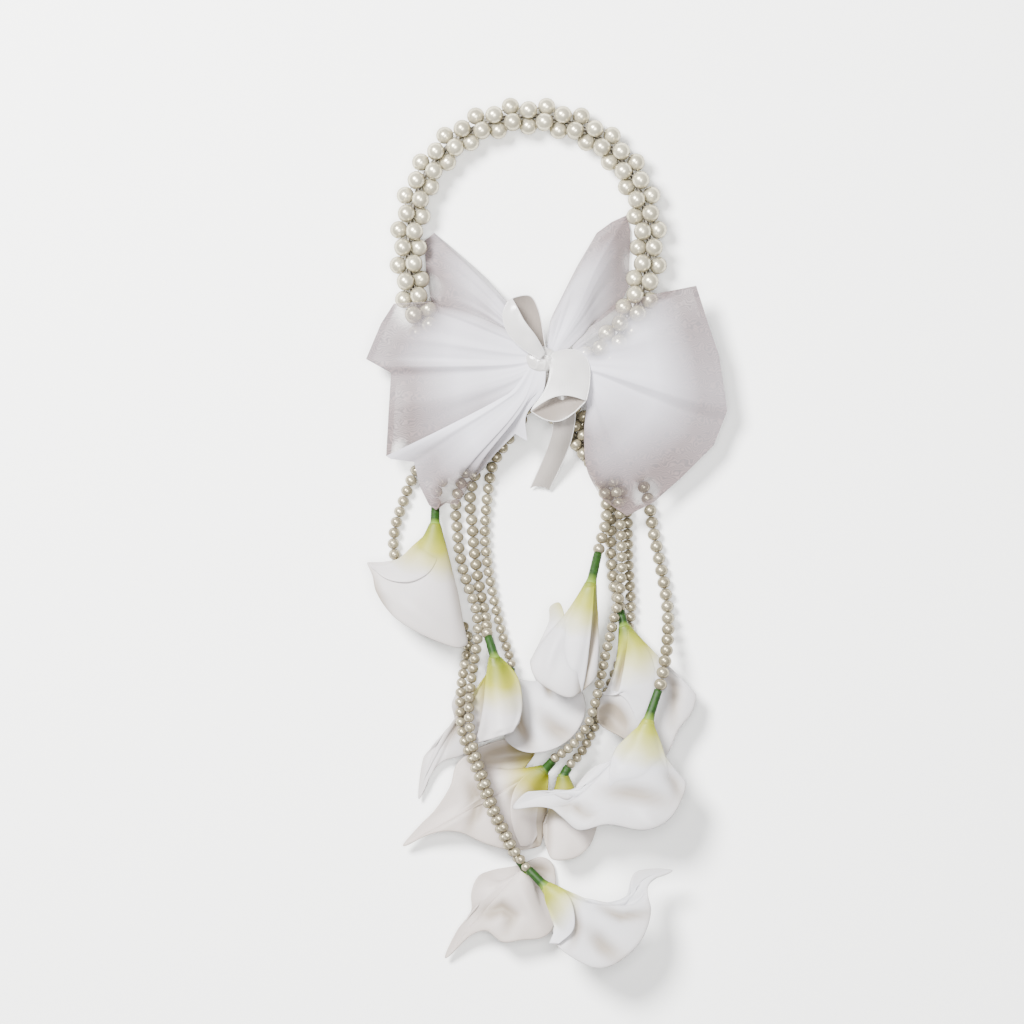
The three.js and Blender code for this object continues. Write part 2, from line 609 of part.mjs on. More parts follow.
const ropeLine = closedCurve(ropeShares);
add("hoop_core_wire", coreWire(ropeLine), "steel");
for (let number = 0; number < ROPE_STRINGS; number++) {
  add(`hoop_pearl_string_${number + 1}`, ropeString(ropeLine, number), "pearl");
}
add("hoop_binding", binding(), "satin");
add("ribbon_knot", knot(), "satin");
add("ribbon_tail", ribbonTail(ribbonTailShares), "satin");
for (const [name, loop] of Object.entries(ribbonLoopShares)) {
  add(name, funnel(loop, lengthOf(loop.neckDiameterShare), RIBBON_THICKNESS), "satin");
}
for (const [name, shares] of Object.entries(panelShares)) add(name, panel(shares), "organza");
for (const [name, flower] of Object.entries(lilyShares)) {
  const cord = strandShares[name];
  add(name.replace("lily", "pearl_strand"), strand(cord), "pearl");
  add(name.replace("lily", "stem"), stem(flower, lastPearl(cord)), "stem");
  add(name.replace("lily", "spathe"), funnel(flower, NECK_DIAMETER, SPATHE_THICKNESS), "petal");
  add(name.replace("lily", "spadix"), spadix(flower), "spadix");
}

// The origin is the middle of the underside
const box = new THREE.Box3().setFromObject(corsage);
const middle = box.getCenter(new THREE.Vector3());
corsage.position.set(-middle.x, -middle.y, -box.min.z);

export default corsage;
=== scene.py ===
"""Wrist corsage: a pearl hoop, an organza bow and ten pearl strands with calla lilies."""

import json
import math
import random
from bisect import bisect_right
from functools import partial

import bpy
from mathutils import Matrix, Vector, noise
from mathutils.bvhtree import BVHTree

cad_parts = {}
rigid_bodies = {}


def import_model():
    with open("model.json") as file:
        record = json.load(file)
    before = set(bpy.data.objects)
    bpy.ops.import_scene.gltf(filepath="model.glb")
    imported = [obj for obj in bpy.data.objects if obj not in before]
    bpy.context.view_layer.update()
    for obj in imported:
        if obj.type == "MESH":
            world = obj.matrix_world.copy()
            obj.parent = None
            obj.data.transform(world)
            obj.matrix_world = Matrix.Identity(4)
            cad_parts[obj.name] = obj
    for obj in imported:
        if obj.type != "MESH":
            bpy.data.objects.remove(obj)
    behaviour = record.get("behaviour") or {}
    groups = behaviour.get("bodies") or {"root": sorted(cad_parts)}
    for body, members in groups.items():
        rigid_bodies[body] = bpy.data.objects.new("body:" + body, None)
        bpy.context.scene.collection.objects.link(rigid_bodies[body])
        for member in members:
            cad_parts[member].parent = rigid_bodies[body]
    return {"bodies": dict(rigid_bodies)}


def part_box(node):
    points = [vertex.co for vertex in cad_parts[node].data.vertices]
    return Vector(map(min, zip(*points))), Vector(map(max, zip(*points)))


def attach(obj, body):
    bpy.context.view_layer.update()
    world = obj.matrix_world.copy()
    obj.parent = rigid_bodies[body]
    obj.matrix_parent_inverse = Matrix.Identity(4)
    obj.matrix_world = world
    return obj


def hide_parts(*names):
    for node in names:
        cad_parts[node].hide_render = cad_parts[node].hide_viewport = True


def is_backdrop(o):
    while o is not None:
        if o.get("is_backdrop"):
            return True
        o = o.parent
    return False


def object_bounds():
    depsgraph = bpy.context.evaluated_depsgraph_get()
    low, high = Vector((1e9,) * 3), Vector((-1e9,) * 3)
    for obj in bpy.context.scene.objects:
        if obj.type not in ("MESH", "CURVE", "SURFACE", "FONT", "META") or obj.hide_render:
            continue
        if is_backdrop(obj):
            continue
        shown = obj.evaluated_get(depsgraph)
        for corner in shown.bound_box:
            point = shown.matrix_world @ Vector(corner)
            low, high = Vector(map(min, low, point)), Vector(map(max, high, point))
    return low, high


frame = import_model()
CAD_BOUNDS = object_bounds()

bl_info = {
    "name": "Wrist Corsage",
    "version": (1, 0, 0),
    "blender": (4, 5, 0),
    "location": "3D View > Sidebar > Corsage",
    "description": "Pearl hoop, organza bow and a cascade of pearl strands with calla lilies",
    "category": "Object",
}

MM = 0.001

# The corsage is drawn on a square board, as its CAD model is: places count from the upper left
# corner, x to the right, y down and z up from the surface. The binding ties the board to the frame.
BOARD_SIDE = 0.4551
BOARD_PLACES = 1024
PLACE = BOARD_SIDE / BOARD_PLACES
BINDING_PLACE = (535, 372, 22.3)
RESTING = 6.5

# The CAD model's rope, in layers of three pearls, and the binding's play round it
ROPE_STRINGS = 3
ROPE_LAYERS_A_TURN = 6
ROPE_LAYER_PITCH = 7.1 * MM
CAD_ROPE_PEARL = 7.8 * MM
ROPE_PEARL_GAP = 0.3 * MM
ROPE_HELIX = (CAD_ROPE_PEARL + ROPE_PEARL_GAP) / (2 * math.sin(math.pi / ROPE_STRINGS))
BINDING_PLAY = 0.7 * MM
BINDING_WALL = 0.9 * MM
BINDING_RADIUS = ROPE_HELIX + CAD_ROPE_PEARL / 2 + BINDING_PLAY + BINDING_WALL
BINDING_BOX = tuple(Vector(corner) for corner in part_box("hoop_binding"))

UP = Vector((0, 0, 1))


def board_origin():
    low, high = BINDING_BOX
    x, y, z = BINDING_PLACE
    middle = (low + high) / 2
    return Vector((middle.x - x * PLACE, middle.y + y * PLACE, high.z - BINDING_RADIUS - z * PLACE))


BOARD_ORIGIN = board_origin()


def place(x, y, z=RESTING):
    return BOARD_ORIGIN + Vector((x, -y, z)) * PLACE


BOARD_MIDDLE = place(BOARD_PLACES / 2, BOARD_PLACES / 2, 0)

# The rope's centreline, clockwise from the top of the hoop
ROPE_ROUTE = (
    (528.5, 115, 19.6), (589, 131, 19.7), (633, 176, 20), (648.5, 236, 20.4), (645, 280, 20.8),
    (633, 312, 21.2), (614, 341, 21.7), (594, 361, 22.1), (571, 371.5, 22.3), (535, 372, 22.3),
    (495, 372, 22.3), (466, 365, 22.1), (441, 347, 21.8), (421, 319, 21.4), (411, 283, 20.9),
    (408.5, 236, 20.4), (424, 176, 20), (468, 131, 19.7),
)

# Each strand's sizes and its route from the binding to its last pearl. The sizes are the share of
# the way from large to small pearls at both ends. A place without z rests on the surface.
STRANDS = {
    1: ((0, 0.2), ((512, 394.4, 30), (508, 402, 32), (488, 425, 26), (466, 450, 20), (447, 474, 14),
        (437, 490, 12), (435, 503, 12))),
    2: ((0, 0.3), ((525, 394.4, 30), (521, 403, 32), (503, 427, 26), (486, 452, 18), (474, 477, 10),
        (470, 501), (472, 525), (474, 550), (477, 574), (481, 597, 7), (484, 611, 10),
        (486, 622, 18), (487, 633, 30))),
    3: ((0, 0.1), ((538, 394.4, 30), (541, 403, 32), (561, 427, 28), (582, 452, 23), (599, 477, 19),
        (606, 500, 18.5), (606, 521, 18.5), (602, 538, 19), (599, 549, 20))),
    4: ((0, 0.3), ((545, 392.2, 10), (548, 401, 8), (566, 428), (586, 456), (602, 482), (610, 505),
        (611, 530), (611, 550), (612, 567), (614, 585, 7), (617, 597, 10), (620, 607, 15))),
    5: ((0, -0.2), ((564, 394.4, 30), (570, 403, 32), (592, 425, 26), (618, 452, 16),
        (640, 478, 7.5), (649, 502), (653, 527), (658, 552), (663, 576), (667, 600, 8),
        (668.5, 623, 16), (667, 646, 30), (664, 665, 41), (660, 684, 47))),
    6: ((0, 1), ((551, 394.4, 30), (555, 403, 32), (577, 428, 28), (597, 454, 23), (612, 479, 19),
        (619, 503, 18.5), (621, 530, 18.5), (622, 569, 18.5), (620, 592, 21), (612, 627, 31),
        (605, 656, 39), (600, 680, 46), (595, 702, 48), (588, 723, 46), (577, 740, 40),
        (565, 751, 32), (555, 758, 26))),
    7: ((0, 1), ((558, 392.2, 10), (563, 401, 8), (586, 428), (606, 456), (620, 484), (627, 512),
        (628, 540), (629, 570), (631, 596), (631, 616), (624, 650, 5.5), (612, 682, 5.5),
        (602, 706, 5.5), (596, 725, 7), (588, 742, 12), (579, 756, 18), (571, 764, 22))),
    8: ((0, 1), ((519, 392.2, 10), (516, 401, 8), (498, 425), (478, 452), (462, 480), (455.5, 506),
        (457, 530), (459, 550, 7), (463, 570, 9), (469, 589, 14), (476, 610, 20), (478, 633, 25),
        (475, 656, 30), (471, 682, 39), (469, 710, 44), (471, 736, 46), (477, 758, 47),
        (483, 775, 47), (489, 792, 48), (496, 811, 49), (505, 829, 49), (512, 844, 48),
        (519, 856, 47), (526, 866, 46))),
    9: ((0, 1), ((506, 392.2, 10), (500, 400, 8), (474, 420), (446, 441), (424, 459), (411, 480),
        (402, 504), (395, 526), (393, 545), (397, 566), (406, 585), (421, 600), (438, 609),
        (454, 617), (465, 630, 8), (468, 646, 14), (465, 663, 20), (461, 688, 31), (460, 712, 35),
        (463, 736, 36), (471, 757, 37), (478, 775, 38), (484, 792, 39), (491, 811, 40),
        (500, 829, 40), (506, 842, 38), (512, 851, 34), (517, 858, 29))),
    10: ((0, 1), ((532, 392.2, 10), (530, 401, 8), (518, 425), (504, 445), (493, 464), (488.5, 487),
        (486, 510), (485, 535), (487, 560), (491, 585), (496, 609), (502, 634, 7), (508, 652, 10),
        (511, 664, 14))),
}

# Each lily: its neck, its belly as centre, half width and half depth, how warm its white is, and
# its rim as degrees round the flower and place. 0 is its side, 90 faces up, 270 the surface. Some
# have pale, which lightens the lime, or fade, which shortens it.
LILIES = {
    1: {"neck": (435, 524, 24), "belly": ((431, 568, 32), 25, 14), "warmth": 0.45,
        "rim": ((0, 468, 643, 34), (30, 460, 648, 44), (60, 441, 643, 49), (90, 415, 631, 50),
        (120, 391, 614, 48), (145, 376, 592, 44), (165, 372, 575, 38), (180, 367, 562, 33),
        (198, 380, 571, 26), (225, 393, 590, 18), (270, 425, 618, 15), (315, 452, 634, 20))},
    2: {"neck": (495, 658, 44), "belly": ((500, 693, 39), 19, 12), "warmth": 0.35,
        "rim": ((0, 520, 721, 50), (45, 511, 730, 60), (90, 497, 736, 62), (118, 485, 741, 50),
        (135, 480, 742, 34), (152, 460, 757, 17), (168, 440, 764, 12), (180, 418, 801, 8),
        (190, 423, 758, 8), (202, 431, 747, 7), (216, 448, 735, 7), (230, 454, 721, 8),
        (244, 451, 704, 9), (262, 462, 688, 12), (290, 490, 716, 26), (325, 511, 712, 40))},
    3: {"neck": (591, 583, 38), "belly": ((578, 634, 52), 25, 14), "warmth": 0.15,
        "rim": ((0, 595, 674, 56), (35, 583, 690, 66), (75, 570, 697, 70), (110, 551, 690, 70),
        (145, 536, 679, 66), (170, 530, 664, 60), (192, 538, 645, 50), (206, 549, 620, 44),
        (216, 550, 606, 42), (226, 559, 602, 42), (240, 565, 620, 42), (275, 567, 668, 44),
        (320, 584, 670, 46))},
    4: {"neck": (624, 626, 23), "belly": ((641, 675, 26), 30, 9), "warmth": 0.15,
        "rim": ((0, 697, 694, 26), (22, 692, 713, 31), (45, 679, 729, 34), (72, 664, 757, 35),
        (100, 640, 748, 35), (128, 619, 736, 35), (150, 600, 724, 34), (172, 597, 708, 30),
        (190, 603, 696, 26), (215, 616, 702, 19), (255, 640, 735, 15), (290, 664, 740, 15),
        (330, 686, 705, 18))},
    5: {"neck": (648, 719, 50), "belly": ((641, 754, 55), 20, 14), "warmth": 0.0, "pale": 0.1,
        "rim": ((0, 686, 779, 56), (28, 681, 799, 64), (55, 667, 819, 68), (85, 645, 829, 70),
        (115, 606, 823, 69), (135, 577, 829, 65), (152, 561, 816, 59), (166, 547, 805, 54),
        (180, 512, 808, 46), (192, 527, 791, 46), (202, 548, 792, 47), (214, 568, 799, 48),
        (228, 576, 785, 46), (246, 600, 764, 44), (275, 640, 795, 42), (320, 671, 782, 46))},
    6: {"neck": (545, 770, 20), "belly": ((503, 796, 17), 28, 11), "warmth": 0.9, "fade": 0.78,
        "rim": ((0, 541, 846, 9), (28, 513, 851, 22), (52, 483, 843, 29), (72, 462, 833, 30),
        (88, 443, 832, 26), (98, 421, 838, 20), (106, 402, 847, 12), (114, 418, 827, 14),
        (128, 434, 811, 17), (152, 450, 786, 19), (180, 456, 765, 15), (205, 470, 753, 14),
        (228, 492, 743, 13), (248, 515, 739, 13), (268, 538, 746, 12), (300, 500, 800, 2),
        (332, 512, 830, 3))},
    7: {"neck": (563, 776, 20), "belly": ((567, 812, 18), 21, 11), "warmth": 0.8, "fade": 0.8,
        "rim": ((0, 598, 823, 20), (32, 591, 844, 28), (60, 579, 856, 33), (90, 565, 860, 35),
        (120, 552, 859, 34), (150, 546, 848, 29), (180, 545, 824, 22), (225, 552, 835, 8),
        (270, 568, 848, 3), (320, 588, 838, 8))},
    8: {"neck": (545, 885, 51), "belly": ((582, 916, 56), 21, 13), "warmth": 0.0, "pale": 0.15,
        "rim": ((0, 616, 909, 53), (9, 630, 893, 51), (15, 631, 877, 49), (21, 638, 869.5, 48),
        (27, 673, 869, 46), (34, 651, 878, 50), (41, 647, 890, 54), (52, 651, 909, 60),
        (78, 641, 938, 67), (105, 616, 961, 70), (130, 597, 966, 69), (155, 573, 956, 66),
        (176, 556, 942, 60), (200, 554, 925, 52), (232, 572, 932, 45), (275, 602, 940, 43),
        (325, 612, 924, 46))},
    9: {"neck": (527, 872, 20), "belly": ((516, 898, 18), 27, 11), "warmth": 0.85, "pale": 0.7,
        "rim": ((0, 553, 929, 20), (35, 542, 938, 29), (70, 522, 940, 34), (100, 502, 942, 34),
        (122, 486, 931, 29), (138, 470, 937, 20), (150, 444, 960, 9), (162, 460, 926, 13),
        (176, 471, 912, 17), (192, 471, 894, 17), (212, 478, 877, 13), (240, 492, 871, 8),
        (264, 520, 866, 5), (286, 541, 858, 5), (308, 553, 865, 6), (334, 556, 896, 9))},
    10: {"neck": (511, 682, 16), "belly": ((536, 706, 16), 28, 11), "warmth": 0.1, "pale": 0.6,
        "rim": ((0, 548, 656, 16), (35, 578, 684, 27), (62, 586, 706, 33), (92, 577, 731, 37),
        (122, 555, 748, 38), (150, 535, 752, 37), (172, 516, 748, 34), (190, 504, 737, 20),
        (215, 516, 726, 8), (270, 552, 722, 3), (325, 530, 660, 8))},
}

# Where a spathe's rim runs out into a tail, the tail bends through places: rim point, places
TAIL_BENDS = {
    2: {6: ((446, 750, 14),), 7: ((432, 755, 11),), 8: ((440, 744, 8),)},
    5: {7: ((583, 806, 50),), 8: ((580, 801, 49), (545, 794, 47)), 9: ((582, 798, 47),),
        10: ((586, 795, 46),)},
    6: {0: ((547, 800, 15), (545, 826, 11)), 6: ((432, 832, 16),)},
    8: {1: ((590, 904, 53), (620, 907, 53)), 2: ((590, 905, 54), (627, 904, 53)),
        3: ((592, 907, 54), (634, 898, 52)), 4: ((594, 909, 54), (639, 896, 51), (644, 878, 49)),
        5: ((596, 912, 55), (642, 897, 53)), 6: ((598, 914, 56), (641, 906, 55))},
    9: {6: ((468, 934, 14),)},
}

# The lobe that laps over the front of a spathe: its two long edges from the neck on, as x and y,
# and how far each edge stands off the petal below, in places. An edge below it can't be seen. A
# lobe that melts starts below the petal, one that sinks ends below it, and end bends its last row.
LOBES = {
    1: {"edges": (((433, 526), (424, 536), (413, 546), (400, 558), (386, 565), (376, 566),
        (368, 563)), ((441, 527), (441, 541), (438, 558), (429, 573), (411, 582), (389, 580),
        (372, 568))), "lift": (0.6, 1.2), "melts": True},
    2: {"edges": (((489, 657), (486, 678), (484, 702), (480, 726), (475, 744)), ((501, 657),
        (517, 675), (522, 698), (520, 718), (513, 731))), "lift": (2.4, 0.8)},
    3: {"edges": (((586, 586), (574, 604), (560, 630), (546, 655), (539, 676)), ((594, 586),
        (592, 615), (589, 645), (586, 670), (582, 692))), "lift": (-3, 2.8), "sinks": True},
    4: {"edges": (((628, 629), (626, 652), (622, 676), (616, 694), (597, 693)), ((633, 632),
        (650, 655), (656, 685), (651, 712), (637, 726))),
        "end": ((610, 691), (624, 698), (632, 711)), "lift": (2.8, -3)},
    5: {"edges": (((642, 722), (628, 735), (614, 750), (609, 768), (608, 786)), ((652, 722),
        (662, 748), (668, 770), (670, 790), (664, 812))), "lift": (2.4, -3), "sinks": True},
    6: {"edges": (((540, 769), (524, 776), (514, 790), (510, 808), (513, 830), (520, 847)),
        ((549, 775), (548, 790), (545, 806), (541, 822), (537, 836), (530, 847))),
        "lift": (2.6, -3)},
    8: {"edges": (((543, 884), (545, 897), (550, 914), (554, 928), (549, 942)), ((556, 885),
        (569, 895), (574, 910), (573, 928), (559, 942))), "lift": (1.2, 3.0)},
}

# Soft folds pressed into a spathe and painted with shade where they press in: a line of x and y,
# then half width and depth in places
FOLDS = {
    1: (((452, 560), (459, 590), (466, 628), 7, 3), ((400, 600), (420, 612), (446, 628), 9, -3),
        ((371, 572), (377, 592), (389, 612), 4, 3)),
    2: (((470, 690), (462, 716), (446, 744), 6, 5), ((484, 664), (482, 700), (478, 736), 4, 3)),
    3: (((562, 625), (552, 650), (545, 676), 6, -3),
        ((598, 600), (593, 635), (584, 674), (582, 700), 5, 6),
        ((543, 690), (552, 702), (566, 708), 5, 5)),
    4: (((628, 648), (622, 672), (616, 694), 5, 5), ((668, 668), (676, 690), (672, 724), 7, 4),
        ((598, 712), (610, 716), (624, 732), 13, 9)),
    5: (((600, 790), (632, 792), (668, 800), 9, 4), ((560, 804), (580, 808), (594, 816), 5, 4),
        ((664, 770), (674, 782), (680, 796), 6, 3), ((640, 812), (650, 822), (660, 826), 6, -3)),
    6: (((470, 780), (478, 806), (470, 828), 7, 6), ((430, 832), (448, 822), (468, 812), 7, -4),
        ((544, 790), (542, 822), (538, 850), 7, 7), ((548, 752), (508, 755), (480, 761), 9, 8),
        ((521, 782), (513, 794), (511, 806), 4, 3)),
    7: (((548, 800), (547, 825), (547, 852), 4, 3), ((575, 820), (585, 835), (590, 848), 7, -3)),
    8: (((600, 905), (620, 915), (648, 912), 5, 4), ((590, 930), (602, 944), (618, 955), 9, 4),
        ((574, 905), (577, 925), (572, 945), 5, 4)),
    9: (((480, 913), (490, 913), (502, 908), (513, 916), (508, 930), 7, 5),
        ((520, 885), (530, 905), (540, 925), 8, -4), ((528, 870), (540, 872), (552, 876), 7, 5)),
    10: (((545, 668), (547, 680), (550, 694), 4, 8), ((540, 715), (556, 730), (572, 738), 9, 4),
        ((515, 700), (520, 725), (530, 745), 7, 5)),
}

# The organza panels. Each spans from its gather to its outline between two sides. folds gives the
# height of its creases along the outline as share and places, shows where pearls show through it
# as x, y and radius, crown its rise in the middle, and gathers, for some, how high its gathers are.
# dense is how closely woven it looks along the outline: near the gather, half way and at the edge.
PANELS = {
    "left_loop": {
        "gather": ((540, 348, 52), (541, 366, 55)),
        "sides": (((516, 334, 52), (482, 318, 48)), ((522, 388, 52), (498, 405, 47),
            (442, 434, 34))),
        "outline": ((452, 313, 44), (430, 302, 44), (394, 304, 42), (381, 324, 36), (366, 359, 30),
            (391, 373, 32), (389, 404, 30), (386, 456, 27)),
        "folds": ((0, 0), (0.14, 2), (0.24, -1), (0.42, 2.5), (0.52, -0.5), (0.6, 3), (0.66, -2),
            (0.8, 2), (0.9, -1), (1, 0)),
        "shows": ((418, 304, 25), (404, 452, 12)), "crown": 7,
        "dense": ((0.9, 1, 1, 1, 1), (0.3, 0.75, 0.9, 0.75, 0.35), (0.1, 0.15, 0.2, 0.15, 0.05)),
    },
    "left_tail": {
        "gather": ((533, 362, 55), (546, 366, 56)),
        "sides": (((512, 391, 55), (498, 400, 52), (440, 430, 41)), ((543, 392, 55),
            (526, 416, 48))),
        "outline": ((386, 456, 31), (391, 459, 31), (414, 462, 29), (420, 487, 26), (429, 505, 27),
            (436, 510, 28), (446, 503, 28), (457, 505, 29), (476, 477, 32), (496, 453, 36),
            (515, 434, 41), (527, 441, 42)),
        "folds": ((0, 1), (0.1, 2.2), (0.2, 0.5), (0.4, 1.5), (0.52, 0), (1, 0)),
        "shows": ((450, 492, 14), (468, 478, 12)), "crown": 2, "gathers": 0.15,
        "dense": ((1, 1, 1, 1, 1, 1), (1, 1, 0.7, 0.65, 0.85, 1), (0.8, 0.3, 0, 0.1, 0.6, 0.9)),
    },
    "upper_left_tail": {
        "gather": ((526.8, 345.4, 49.2), (537, 347.4, 51.2)),
        "sides": (((500, 330, 38), (478, 322, 28)), ((524, 324, 42), (514, 312, 34))),
        "outline": ((446, 322, 18), (431, 302, 9), (426, 272, 6), (424, 240, 5), (434, 232, 5),
            (450, 245, 6), (473, 265, 9), (488, 279, 14), (503, 297, 24)),
        "folds": ((0, 0), (0.3, 2), (0.45, -1), (0.6, 2), (0.8, -0.5), (1, 0)),
        "shows": ((427, 286, 14),), "crown": 3,
        "dense": ((0.8, 1, 1, 1, 0.9), (0.3, 0.5, 0.6, 0.75, 0.8), (0.1, 0.1, 0.2, 0.4, 0.6)),
    },
    "upper_right_loop": {
        "gather": ((547, 350, 51), (560, 355, 49)),
        "sides": (((548, 336, 47), (550, 322, 42)), ((576, 342, 41), (583, 331, 33))),
        "outline": ((553, 314, 38), (577, 266, 15), (597, 232, 8), (612, 221, 6), (627, 214, 5),
            (631, 230, 4), (630, 262, 5), (629, 286, 7), (620, 305, 13), (600, 321, 24)),
        "folds": ((0, 1), (0.25, 2), (0.4, -1), (0.6, 1.5), (0.8, -1), (1, 0)),
        "shows": ((640, 262, 16),), "crown": 3, "gathers": 0.6,
        "dense": ((1, 1, 1, 0.9, 0.7), (0.7, 0.7, 0.6, 0.6, 0.5), (0.3, 0.25, 0.1, 0.2, 0.2)),
    },
    "right_loop": {
        "gather": ((572, 347, 51), (580, 384, 46)),
        "sides": (((586, 333, 52), (598, 319, 51)), ((586, 402, 44), (584, 432, 38),
            (587, 470, 34))),
        "outline": ((613, 306, 50), (636, 299, 48), (662, 293, 46), (696, 286, 40), (708, 324, 38),
            (719, 356, 36), (725, 396, 34), (727, 411, 32), (714, 445, 30), (682, 477, 30),
            (654, 502, 29), (627, 516, 29), (602, 499, 32)),
        "folds": ((0, 0), (0.1, 2), (0.17, -0.5), (0.3, 2.5), (0.42, 0.5), (0.54, 4.5), (0.575, -2),
            (0.7, 1.5), (0.8, -1), (0.9, 2), (1, 0)),
        "shows": ((634, 302, 24), (612, 328, 20), (596, 345, 14), (612, 494, 16), (646, 492, 14)),
            "crown": 6,
        "dense": ((0.5, 0.9, 1, 1, 0.8), (0.2, 0.85, 1, 0.6, 0.15), (0, 0.15, 0.3, 0.1, 0)),
    },
}

# Strips of satin ribbon: both edges of each from the knot on, how far its middle stands out from
# the line between them and how far its last row sags, in places
SATIN_STRIPS = {
    "ribbon_loop_upper": (
        {"edges": (((540, 360, 62), (521, 348, 64), (507, 332, 66), (503, 315, 68), (508, 302, 68)),
            ((545, 354, 62), (536, 338, 70), (524, 322, 74), (517, 309, 74), (512, 300, 70))),
            "bulge": 2, "sag": 0},
        {"edges": (((508, 302, 66), (516, 298, 64), (530, 297, 62), (538, 310, 58), (546, 352, 56)),
            ((512, 306, 60), (519, 318, 52), (528, 328, 48), (537, 340, 48), (543, 354, 52))),
            "bulge": -2, "sag": 0},
    ),
    "ribbon_loop_lower": (
        {"edges": (((547, 358, 57), (550, 368, 58), (546, 388, 61), (531, 411, 62)),
            ((553, 353, 56), (568, 350, 52), (582, 353, 50), (589, 366, 51), (589, 386, 55),
            (586, 401, 58))), "bulge": 2.5, "sag": -10},
        {"edges": (((542, 372, 48), (537, 398, 51), (531, 412, 58)), ((584, 372, 46),
            (588, 390, 49), (586, 401, 57))), "bulge": -2, "sag": 15},
    ),
    "ribbon_tail": (
        {"edges": (((549, 375, 47.5), (552, 400, 46), (553, 424, 42), (551, 437, 34),
            (544, 457, 18), (530, 489, 4)), ((563, 378, 47.5), (572, 400, 46), (575, 414, 43),
            (573, 432, 38), (567, 452, 24), (549, 491, 4))), "bulge": 4, "sag": 0},
    ),
}
KNOT = {"centre": (541, 360, 53.5), "half_size": (16, 14, 6.5)}


def linear(hex_colour):
    """An sRGB hex colour as linear red, green and blue."""
    channels = (int(hex_colour[i:i + 2], 16) / 255 for i in (1, 3, 5))
    return tuple(c / 12.92 if c <= 0.04045 else ((c + 0.055) / 1.055) ** 2.4 for c in channels)


def length_prop(name, description, millimetres):
    return bpy.props.FloatProperty(name=name, description=description, default=millimetres * MM,
                                   min=0.0, subtype="DISTANCE", unit="LENGTH", precision=5)


def colour_prop(name, description, hex_colour):
    return bpy.props.FloatVectorProperty(name=name, description=description, size=3, min=0, max=1,
                                         subtype="COLOR", default=linear(hex_colour))


class PearlSettings(bpy.types.PropertyGroup):
    """Pearls of the hoop and the strands."""
    rope_pearl: length_prop("Hoop pearl", "Diameter of the hoop's pearls", 7.9)
    strand_pearl: length_prop("Strand pearl", "Diameter of a strand's large pearls", 5.1)
    small_pearl: length_prop("Small pearl", "Diameter of a strand's small pearls", 3.9)
    thread: length_prop("Thread", "Diameter of the nylon thread", 0.5)
    ivory: colour_prop("Ivory", "Colour of the palest pearls", "#D5CEB6")
    # The warm, dark end also gives the strands' pearls their painted shade
    warm_shaded_ivory: colour_prop("Warm ivory", "Colour of the warmest pearls", "#908771")
    thread_grey: colour_prop("Thread grey", "Colour of the thread", "#6E675C")


class RibbonSettings(bpy.types.PropertyGroup):
    """Satin ribbon and organza."""
    satin_width: length_prop("Satin width", "Width of the satin ribbon", 10.1)
    satin_thickness: length_prop("Satin thickness", "Thickness of the satin ribbon", 0.22)
    satin: colour_prop("Satin", "Colour of the satin", "#C4C1BF")
    organza: colour_prop("Organza", "Colour of gathered organza", "#BFBDC5")
    organza_single: colour_prop("Single organza", "Colour of a single layer of organza", "#6E5B57")


class LilySettings(bpy.types.PropertyGroup):
    """Calla lilies."""
    neck: length_prop("Neck", "Diameter where the stem meets the spathe", 5.4)
    stem: length_prop("Stem", "Diameter of the stem", 4.4)
    thickness: length_prop("Spathe thickness", "Thickness of the spathe", 0.75)
    spadix: length_prop("Spadix", "Diameter of the spadix", 2.8)
    spadix_length: length_prop("Spadix length", "Length of the spadix", 15)
    fade: length_prop("Fade", "Distance from the neck over which the lime fades to white", 32)
    white: colour_prop("White", "Colour of the front lilies", "#BDBCBF")
    warm_white: colour_prop("Warm white", "Colour of the lilies behind", "#B1A69F")
    lime: colour_prop("Lime", "Colour of the neck", "#A3AE22")
    green: colour_prop("Green", "Colour of the stem", "#1C3E06")


class StageSettings(bpy.types.PropertyGroup):
    """Floor, light and camera."""
    distance: bpy.props.FloatProperty(name="Distance", description="Camera height over the floor",
                                      default=3.047, min=0.1, subtype="DISTANCE", unit="LENGTH")
    floor: colour_prop("Floor", "Colour of the floor", "#FBFBF9")


def settings(name):
    return getattr(bpy.context.scene, "corsage_" + name)


# How far apart a wave texture's bands are at a scale of 1
BAND_SPACING = math.tau / 20


def add_node(tree, kind, options=(), inputs=(), stops=()):
    """Adds a shader node with its options and a ramp's stops. Each of its inputs is a value, or the
    output that is linked to it."""
    made = tree.nodes.new(kind)
    for name, value in dict(options).items():
        setattr(made, name, value)
    for name, value in dict(inputs).items():
        socket = made.inputs[name]
        if isinstance(value, bpy.types.NodeSocket):
            tree.links.new(value, socket)
        else:
            socket.default_value = (*value, 1) if socket.type == "RGBA" else value
    for i, (position, colour) in enumerate(stops):
        elements = made.color_ramp.elements
        element = elements[i] if i < len(elements) else elements.new(position)
        element.position = position
        element.color = (*colour, 1)
    return made


def scaled(colour, factor):
    return tuple(min(1, c * factor) for c in colour)
